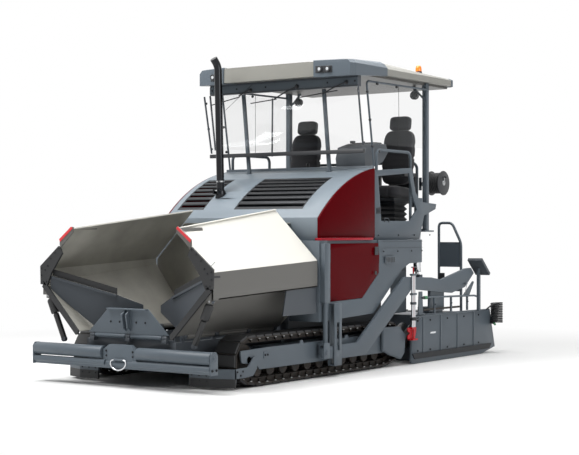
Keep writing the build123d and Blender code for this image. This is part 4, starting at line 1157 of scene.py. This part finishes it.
class PAVER_OT_screed(bpy.types.Operator):
    """End gates' posts, rails, spindles and panels, the step towers and the coiled hose"""
    bl_idname = "paver.screed"
    bl_label = "Screed"

    def execute(self, context):
        for name, side in (("left", 1), ("right", -1)):
            gear = Piece("end_gate_gear_" + name)
            # spindle: base clamp, two chromed tubes, threaded rod, top handle
            gear.block(GATE_SIDE, 1330, 3990, 4110, 312, 330, "clamp")
            clamp = [(3950, 330), (4130, 330), (4160, 420), (4160, 470), (3950, 470), (3950, 430),
                     (4010, 400), (3950, 370)]
            gear.along_x(clamp, 1262, 1276, "clamp")
            gear.block(GATE_SIDE, 1300, 4020, 4100, 452, 474, "clamp")
            for s, radius, low, high, finish in (
                    (4040, 17, 474, 1150, "chrome"), (4085, 17, 474, 1150, "chrome"),
                    (SPINDLE, 9, 330, 1240, "clamp")):
                gear.rod((GATE_X, s, low), (GATE_X, s, high), radius, finish)
            for z0, z1 in ((880, 906), (1126, 1150)):
                gear.block(1268, 1312, 4010, 4115, z0, z1, "paint")
            gear.rod((GATE_X, SPINDLE, 560), (GATE_X, SPINDLE, 600), 44, "plastic", 24)
            gear.rod((GATE_X, SPINDLE, 760), (GATE_X, SPINDLE, 792), 40, "slate", 24)
            gear.rod((1260, SPINDLE, 1232), (1350, SPINDLE, 1232), 8, "zinc")
            # post, rails and connectors over the gate
            gear.block(1270, 1310, 4180, 4320, 626, 640, "paint")
            gear.along_x([(4190, 640), (4310, 640), (4290, 918), (4210, 918)], 1278, 1292, "paint")
            gear.rod((GATE_X, 4330, 836), (GATE_X, 4400, 836), 22, "green", 20)
            gear.rod((GATE_X, 4270, 836), (GATE_X, 4330, 836), 16, "plastic", 20)
            rail = [(GATE_X, s, z) for s, z in ((4400, 836), (4455, 838), (5717, 813), (5810, 790))]
            gear.tube(rounded_path(rail, 30), 13, "paint")
            gear.block(1284, 1296, 4315, 5280, 668, 694, "cast")
            for s in (4600, 5050, 5500):
                gear.block(1278, 1302, s - 12, s + 12, 626, 836, "paint")
                gear.bolt((1302, s, 740), (1, 0, 0), 14)
            gear.block(1284, 1320, 5786, 5834, 600, 1100, "paint")
            hook = [(1300, 5470, 976), (1304, 5452, 930), (1300, 5436, 880), (1296, 5446, 850)]
            gear.tube(smooth_path(hook), 5, "zinc")
            gear.block(1288, 1308, 5430, 5480, 972, 996, "paint")
            gear.along_x([(5380, 820), (5560, 820), (5700, 1000), (5660, 1010)], 1280, 1292, "paint")
            # control panel on its post, facing the rear
            face = [(1196, 5685, 1290), (1410, 5690, 1292), (1410, 5925, 1085), (1196, 5925, 1085)]
            gear.prism(face, (0, 26, 30), "slate")
            display = [(1216, 5716, 1294), (1300, 5716, 1294), (1300, 5790, 1230), (1216, 5790, 1230)]
            gear.prism(display, (0, 8, 9), "screen")
            for k in range(4):
                gear.rod((1225 + k * 48, 5880, 1138), (1225 + k * 48, 5892, 1152), 14, "plastic", 14)
            gear.block(1290, 1314, 5780, 5830, 1090, 1180, "paint")
            # panels, ribs and steps on the gate's outer face
            for s in (4380, 4840, 5300, 5760):
                gear.block(GATE_SIDE, 1259, s - 16, s + 16, 110, 600, "paint")
            gear.block(GATE_SIDE, 1262, 4160, 6080, 586, 604, "paint")
            gear.block(GATE_SIDE, 1262, 4160, 6180, 96, 116, "paint")
            for s in (4240, 4560, 5020, 5480, 5900):
                for z in (160, 540):
                    gear.bolt((GATE_SIDE, s, z), (1, 0, 0), 18)
            gear.block(GATE_SIDE, 1256, 4560, 4700, 360, 384, "lens")
            gear.along_x([(4085, 130), (4145, 60), (6200, 60), (6260, 130)], GATE_SIDE, 1268, "dark_steel")
            # step tower on the walkway behind the screed
            tower = Piece("screed_tower_" + name)
            hoop = [(x, 6070, z) for x, z in ((540, 520), (540, 1803), (750, 1803), (892, 1522), (892, 520))]
            tower.tube(rounded_path(hoop, 60), 19, "paint", 14)
            tower.block(532, 900, 6062, 6078, 1186, 1534, "paint")
            tower.block(60, 1220, 5900, 6236, 541, 556, "dark_steel")
            tower.rod((540, 6070, 860), (892, 6070, 860), 14, "paint")
            tower.block(560, 640, 6040, 6058, 900, 1100, "plastic")
            if side < 0:
                gear.turn_over()
                tower.turn_over()
            made = gear.build("extension_" + name, "machine_grey", edge=1.5)
            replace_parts(made, "end_gate_controls_" + name)
            tower.build("extension_" + name, "machine_grey", edge=1.5)
        # coiled hose at the rear end of the left gate, with its coupling hanging from the last turn
        start = [(1264, 6120, 606), (1290, 6160, 640), (1330, 6200, 676), (1380, 6240, 690)]
        x, s = COIL
        coil = [(x + COIL_R * cos(k * pi / 12), s + COIL_R * sin(k * pi / 12), 690 - k) for k in range(283)]
        path = smooth_path(start + coil[:1], 4) + coil[1:]
        hose = Piece("coiled_hose")
        hose.tube(path, HOSE_R, "rubber", 10)
        plug = Piece("hose_coupling")
        plug.lathe(path[-1], (0, 1, -0.6), [(-8, 8), (0, 15), (34, 15), (38, 9)], "green", 16)
        made = hose.build("extension_left", "black_rubber", sharp=50)
        plug = plug.build("extension_left", "black_plastic")
        return {"FINISHED"}


# ---------------------------------------------------------------- push beam
class PAVER_OT_push_beam(bpy.types.Operator):
    """Axle ends, towing ring and bolts of the push beam"""
    bl_idname = "paver.push_beam"
    bl_label = "Push beam"

    def execute(self, context):
        ends = Piece("push_beam_fittings")
        for x, way in ((1282, 1), (-1282, -1)):
            axle = [(0, 40), (3, 40), (4, 36), (4, 28), (1, 26), (1, 18), (7, 17), (8, 14)]
            ends.lathe((x, 0, 370), (way, 0, 0), axle, "paint", 28)
            ends.bolt((x, -34, 250), (way, 0, 0), 20)
            ends.bolt((x, 34, 250), (way, 0, 0), 20)
        for way in (1, -1):
            ends.rod((way * 196, -34, 262), (way * 1262, -34, 262), 34, "paint", 32, 3)
            ends.lathe((way * 700, -34, 262), (way, 0, 0), [(0, 34), (1, 35.5), (22, 35.5), (23, 34)],
                       "paint", 32)
        ends.rod((-62, -44, 300), (62, -44, 300), 14, "paint", 20)
        ring = [(-62, -44, 300), (-98, -48, 290)]
        for i in range(15):
            turn = pi * i / 14
            ring.append((-110 * cos(turn), -50 - 6 * sin(turn), 268 - 78 * sin(turn)))
        ring += [(98, -48, 290), (62, -44, 300)]
        ends.tube(smooth_path(ring, 3), 9, "chrome", 12)
        for x in (-190, 190):
            for z in (340, 392):
                ends.bolt((x, -30, z), (0, -1, 0), 16)
        ends.build("push_beam", "machine_grey", sharp=40)
        return {"FINISHED"}


# ---------------------------------------------------------------- sides
DOOR_X = 1241                   # outer face of the doors and of the panels beside them


class PAVER_OT_sides(bpy.types.Operator):
    """Rear skirts with vents and seams on both flanks, and vents and latches of the doors"""
    bl_idname = "paver.sides"
    bl_label = "Sides"

    def execute(self, context):
        skirt = Piece("rear_skirts")
        skirt.along_x([(3985, 640), (4372, 640), (4372, 1500), (3985, 1500)], 996, 1004, "paint")
        skirt.block(1004, 1010, 4040, 4340, 1180, 1280, "slate")
        for s in (4040, 4330):
            skirt.bolt((1004, s, 900), (1, 0, 0), 18)
        for z in (1480, 1560):
            skirt.block(DOOR_X, DOOR_X + 2, 3400, 4380, z, z + 4, "plastic")
        for s in (3420, 3760, 4100, 4360):
            skirt.bolt((DOOR_X, s, 1440), (1, 0, 0), 15)
        skirt.block(DOOR_X, DOOR_X + 3, 3460, 3700, 1290, 1380, "paint")
        for k in range(6):
            skirt.block(1244, 1246, 3480 + k * 36, 3500 + k * 36, 1302, 1368, "plastic")
        skirt.mirror()
        skirt.build("root", "machine_grey", edge=1)
        for name, side in (("left", 1), ("right", -1)):
            door = Piece("door_fittings_" + name)
            door.block(DOOR_X, DOOR_X + 2, 3215, 3300, 1400, 1500, "plastic")
            for k in range(5):
                door.block(1243, 1246, 3222, 3293, 1408 + k * 18, 1416 + k * 18, "slate")
            door.block(DOOR_X, DOOR_X + 5, 2210, 2232, 1330, 1470, "plastic")
            latch = [(0, 24), (3, 24), (4, 18), (2, 17), (2, 0.5)]
            door.lathe((DOOR_X, 3240, 1180), (1, 0, 0), latch, "plastic", 24)
            if side < 0:
                door.turn_over()
            door.build("door_" + name, "black_plastic", edge=1)
        return {"FINISHED"}


# ---------------------------------------------------------------- studio
def looked_at(tree):
    """Socket that is 1 for the rays that see the white background: camera, mirrors and glass."""
    rays = add_node(tree, "ShaderNodeLightPath").outputs
    seen = add_node(tree, "ShaderNodeMath", [("operation", "MAXIMUM")],
                    [(0, rays["Is Camera Ray"]), (1, rays["Is Glossy Ray"])])
    return add_node(tree, "ShaderNodeMath", [("operation", "MAXIMUM")],
                    [(0, seen.outputs[0]), (1, rays["Is Transmission Ray"])]).outputs[0]


def studio_floor():
    """Pale matte floor that keeps the shadow and fades into the white background further out."""
    material, shader = new_material("Matte studio floor", "#F4F4F3", 0.9, ior=1.3)
    shader.inputs["Specular IOR Level"].default_value = 0.1
    tree = material.node_tree
    where = object_space(tree)
    reach = add_node(tree, "ShaderNodeVectorMath", [("operation", "LENGTH")], [(0, where)]).outputs["Value"]
    fade = add_node(tree, "ShaderNodeMapRange", [("interpolation_type", "SMOOTHSTEP"), ("From Min", 3.9),
                                                 ("From Max", 8.2)], [("Value", reach)])
    share = add_node(tree, "ShaderNodeMath", [("operation", "MULTIPLY")],
                     [(0, fade.outputs[0]), (1, looked_at(tree))])
    white = add_node(tree, "ShaderNodeEmission", [("Color", (1, 1, 1, 1)), ("Strength", 1.0)])
    mix = add_node(tree, "ShaderNodeMixShader", (), [(0, share.outputs[0]), (1, shader.outputs[0]),
                                                     (2, white.outputs[0])])
    tree.links.new(mix.outputs[0], tree.nodes["Material Output"].inputs["Surface"])
    return material


def studio_lamp(name, spot, aim, size, power, colour="#FFFFFF"):
    """Square soft box at a spot, turned to an aim, both in metres."""
    light = bpy.data.lights.new(name, "AREA")
    light.shape, light.size, light.size_y = "RECTANGLE", size[0], size[1]
    light.energy, light.color = power, linear(colour)[:3]
    made = bpy.data.objects.new(name, light)
    made.location = spot
    made.rotation_mode = "QUATERNION"
    made.rotation_quaternion = (Vector(aim) - Vector(spot)).to_track_quat("-Z", "Y")
    bpy.context.collection.objects.link(made)
    return made


# name, place and aim in metres, width and height in metres, share of the lamp power
SOFT_BOXES = [("key_softbox", (-3.2, -6.0, 10.0), (0, -0.8, 1.2), (5, 5), 2.8),
              ("top_softbox", (0.5, 0.5, 8.5), (0, 0, 1), (7, 9), 3.1),
              ("side_softbox", (10.0, -3.0, 5.5), (0.4, 0, 1.4), (4, 4), 0.6)]
WORLD_STRENGTH = 0.16
CAMERA_SPOT, CAMERA_WAY = (10.379, -14.740, 1.709), (-0.5720, 0.8202, 0.0059)


class PAVER_OT_studio(bpy.types.Operator):
    """Floor, white background, soft boxes and the camera"""
    bl_idname = "paver.studio"
    bl_label = "Studio"

    def execute(self, context):
        bpy.ops.mesh.primitive_circle_add(vertices=96, radius=60, fill_type="NGON", location=(0, 0, -0.002))
        floor = context.object
        floor.name = "studio_floor"
        floor.data.materials.append(studio_floor())

        world = bpy.data.worlds.new("Studio")
        context.scene.world = world
        world.use_nodes = True
        tree = world.node_tree
        tree.nodes.clear()
        soft = add_node(tree, "ShaderNodeBackground", [("Color", linear("#F2F4F7")),
                                                       ("Strength", WORLD_STRENGTH)])
        white = add_node(tree, "ShaderNodeBackground", [("Color", (1, 1, 1, 1)), ("Strength", 1.0)])
        mix = add_node(tree, "ShaderNodeMixShader", (), [(0, looked_at(tree)), (1, soft.outputs[0]),
                                                         (2, white.outputs[0])])
        add_node(tree, "ShaderNodeOutputWorld", (), [("Surface", mix.outputs[0])])

        power = context.scene.paver_sizes.lamp_power
        for name, spot, aim, size, share in SOFT_BOXES:
            studio_lamp(name, spot, aim, size, power * share)

        lens = bpy.data.cameras.new("camera")
        lens.sensor_width, lens.lens = 36.0, 88.47
        lens.shift_x, lens.shift_y = -0.01057, -0.01082
        lens.clip_start, lens.clip_end = 0.1, 300.0
        camera = bpy.data.objects.new("camera", lens)
        camera.location = CAMERA_SPOT
        camera.rotation_mode = "QUATERNION"
        camera.rotation_quaternion = Vector(CAMERA_WAY).to_track_quat("-Z", "Y")
        context.collection.objects.link(camera)
        context.scene.camera = camera
        context.scene.view_settings.view_transform = "Standard"
        return {"FINISHED"}


# ---------------------------------------------------------------- panel, registration, main
STEPS = [PAVER_OT_finishes, PAVER_OT_tracks, PAVER_OT_hopper, PAVER_OT_canopy, PAVER_OT_exhaust,
         PAVER_OT_seats, PAVER_OT_platform, PAVER_OT_screed, PAVER_OT_push_beam,
         PAVER_OT_sides, PAVER_OT_studio]


class PAVER_PT_sidebar(bpy.types.Panel):
    """Sizes, colours and one button for each group of pieces"""
    bl_idname = "PAVER_PT_sidebar"
    bl_label = "Asphalt paver"
    bl_space_type = "VIEW_3D"
    bl_region_type = "UI"
    bl_category = "Paver"

    def draw(self, context):
        layout = self.layout
        for settings in (context.scene.paver_colours, context.scene.paver_sizes):
            box = layout.box()
            for key in settings.bl_rna.properties.keys():
                if key not in ("rna_type", "name"):
                    box.prop(settings, key)
        for step in STEPS:
            layout.operator(step.bl_idname)


def register():
    """Make the settings, operators and panel known to Blender."""
    for kind in [PaverColours, PaverSizes] + STEPS + [PAVER_PT_sidebar]:
        bpy.utils.register_class(kind)
    bpy.types.Scene.paver_colours = bpy.props.PointerProperty(type=PaverColours)
    bpy.types.Scene.paver_sizes = bpy.props.PointerProperty(type=PaverSizes)


def unregister():
    """Take the settings, operators and panel away again."""
    del bpy.types.Scene.paver_colours
    del bpy.types.Scene.paver_sizes
    for kind in ([PaverColours, PaverSizes] + STEPS + [PAVER_PT_sidebar])[::-1]:
        bpy.utils.unregister_class(kind)


def main():
    """Build the machine in order."""
    register()
    for step in STEPS:
        group, name = step.bl_idname.split(".")
        getattr(getattr(bpy.ops, group), name)()


if __name__ == "__main__":
    main()
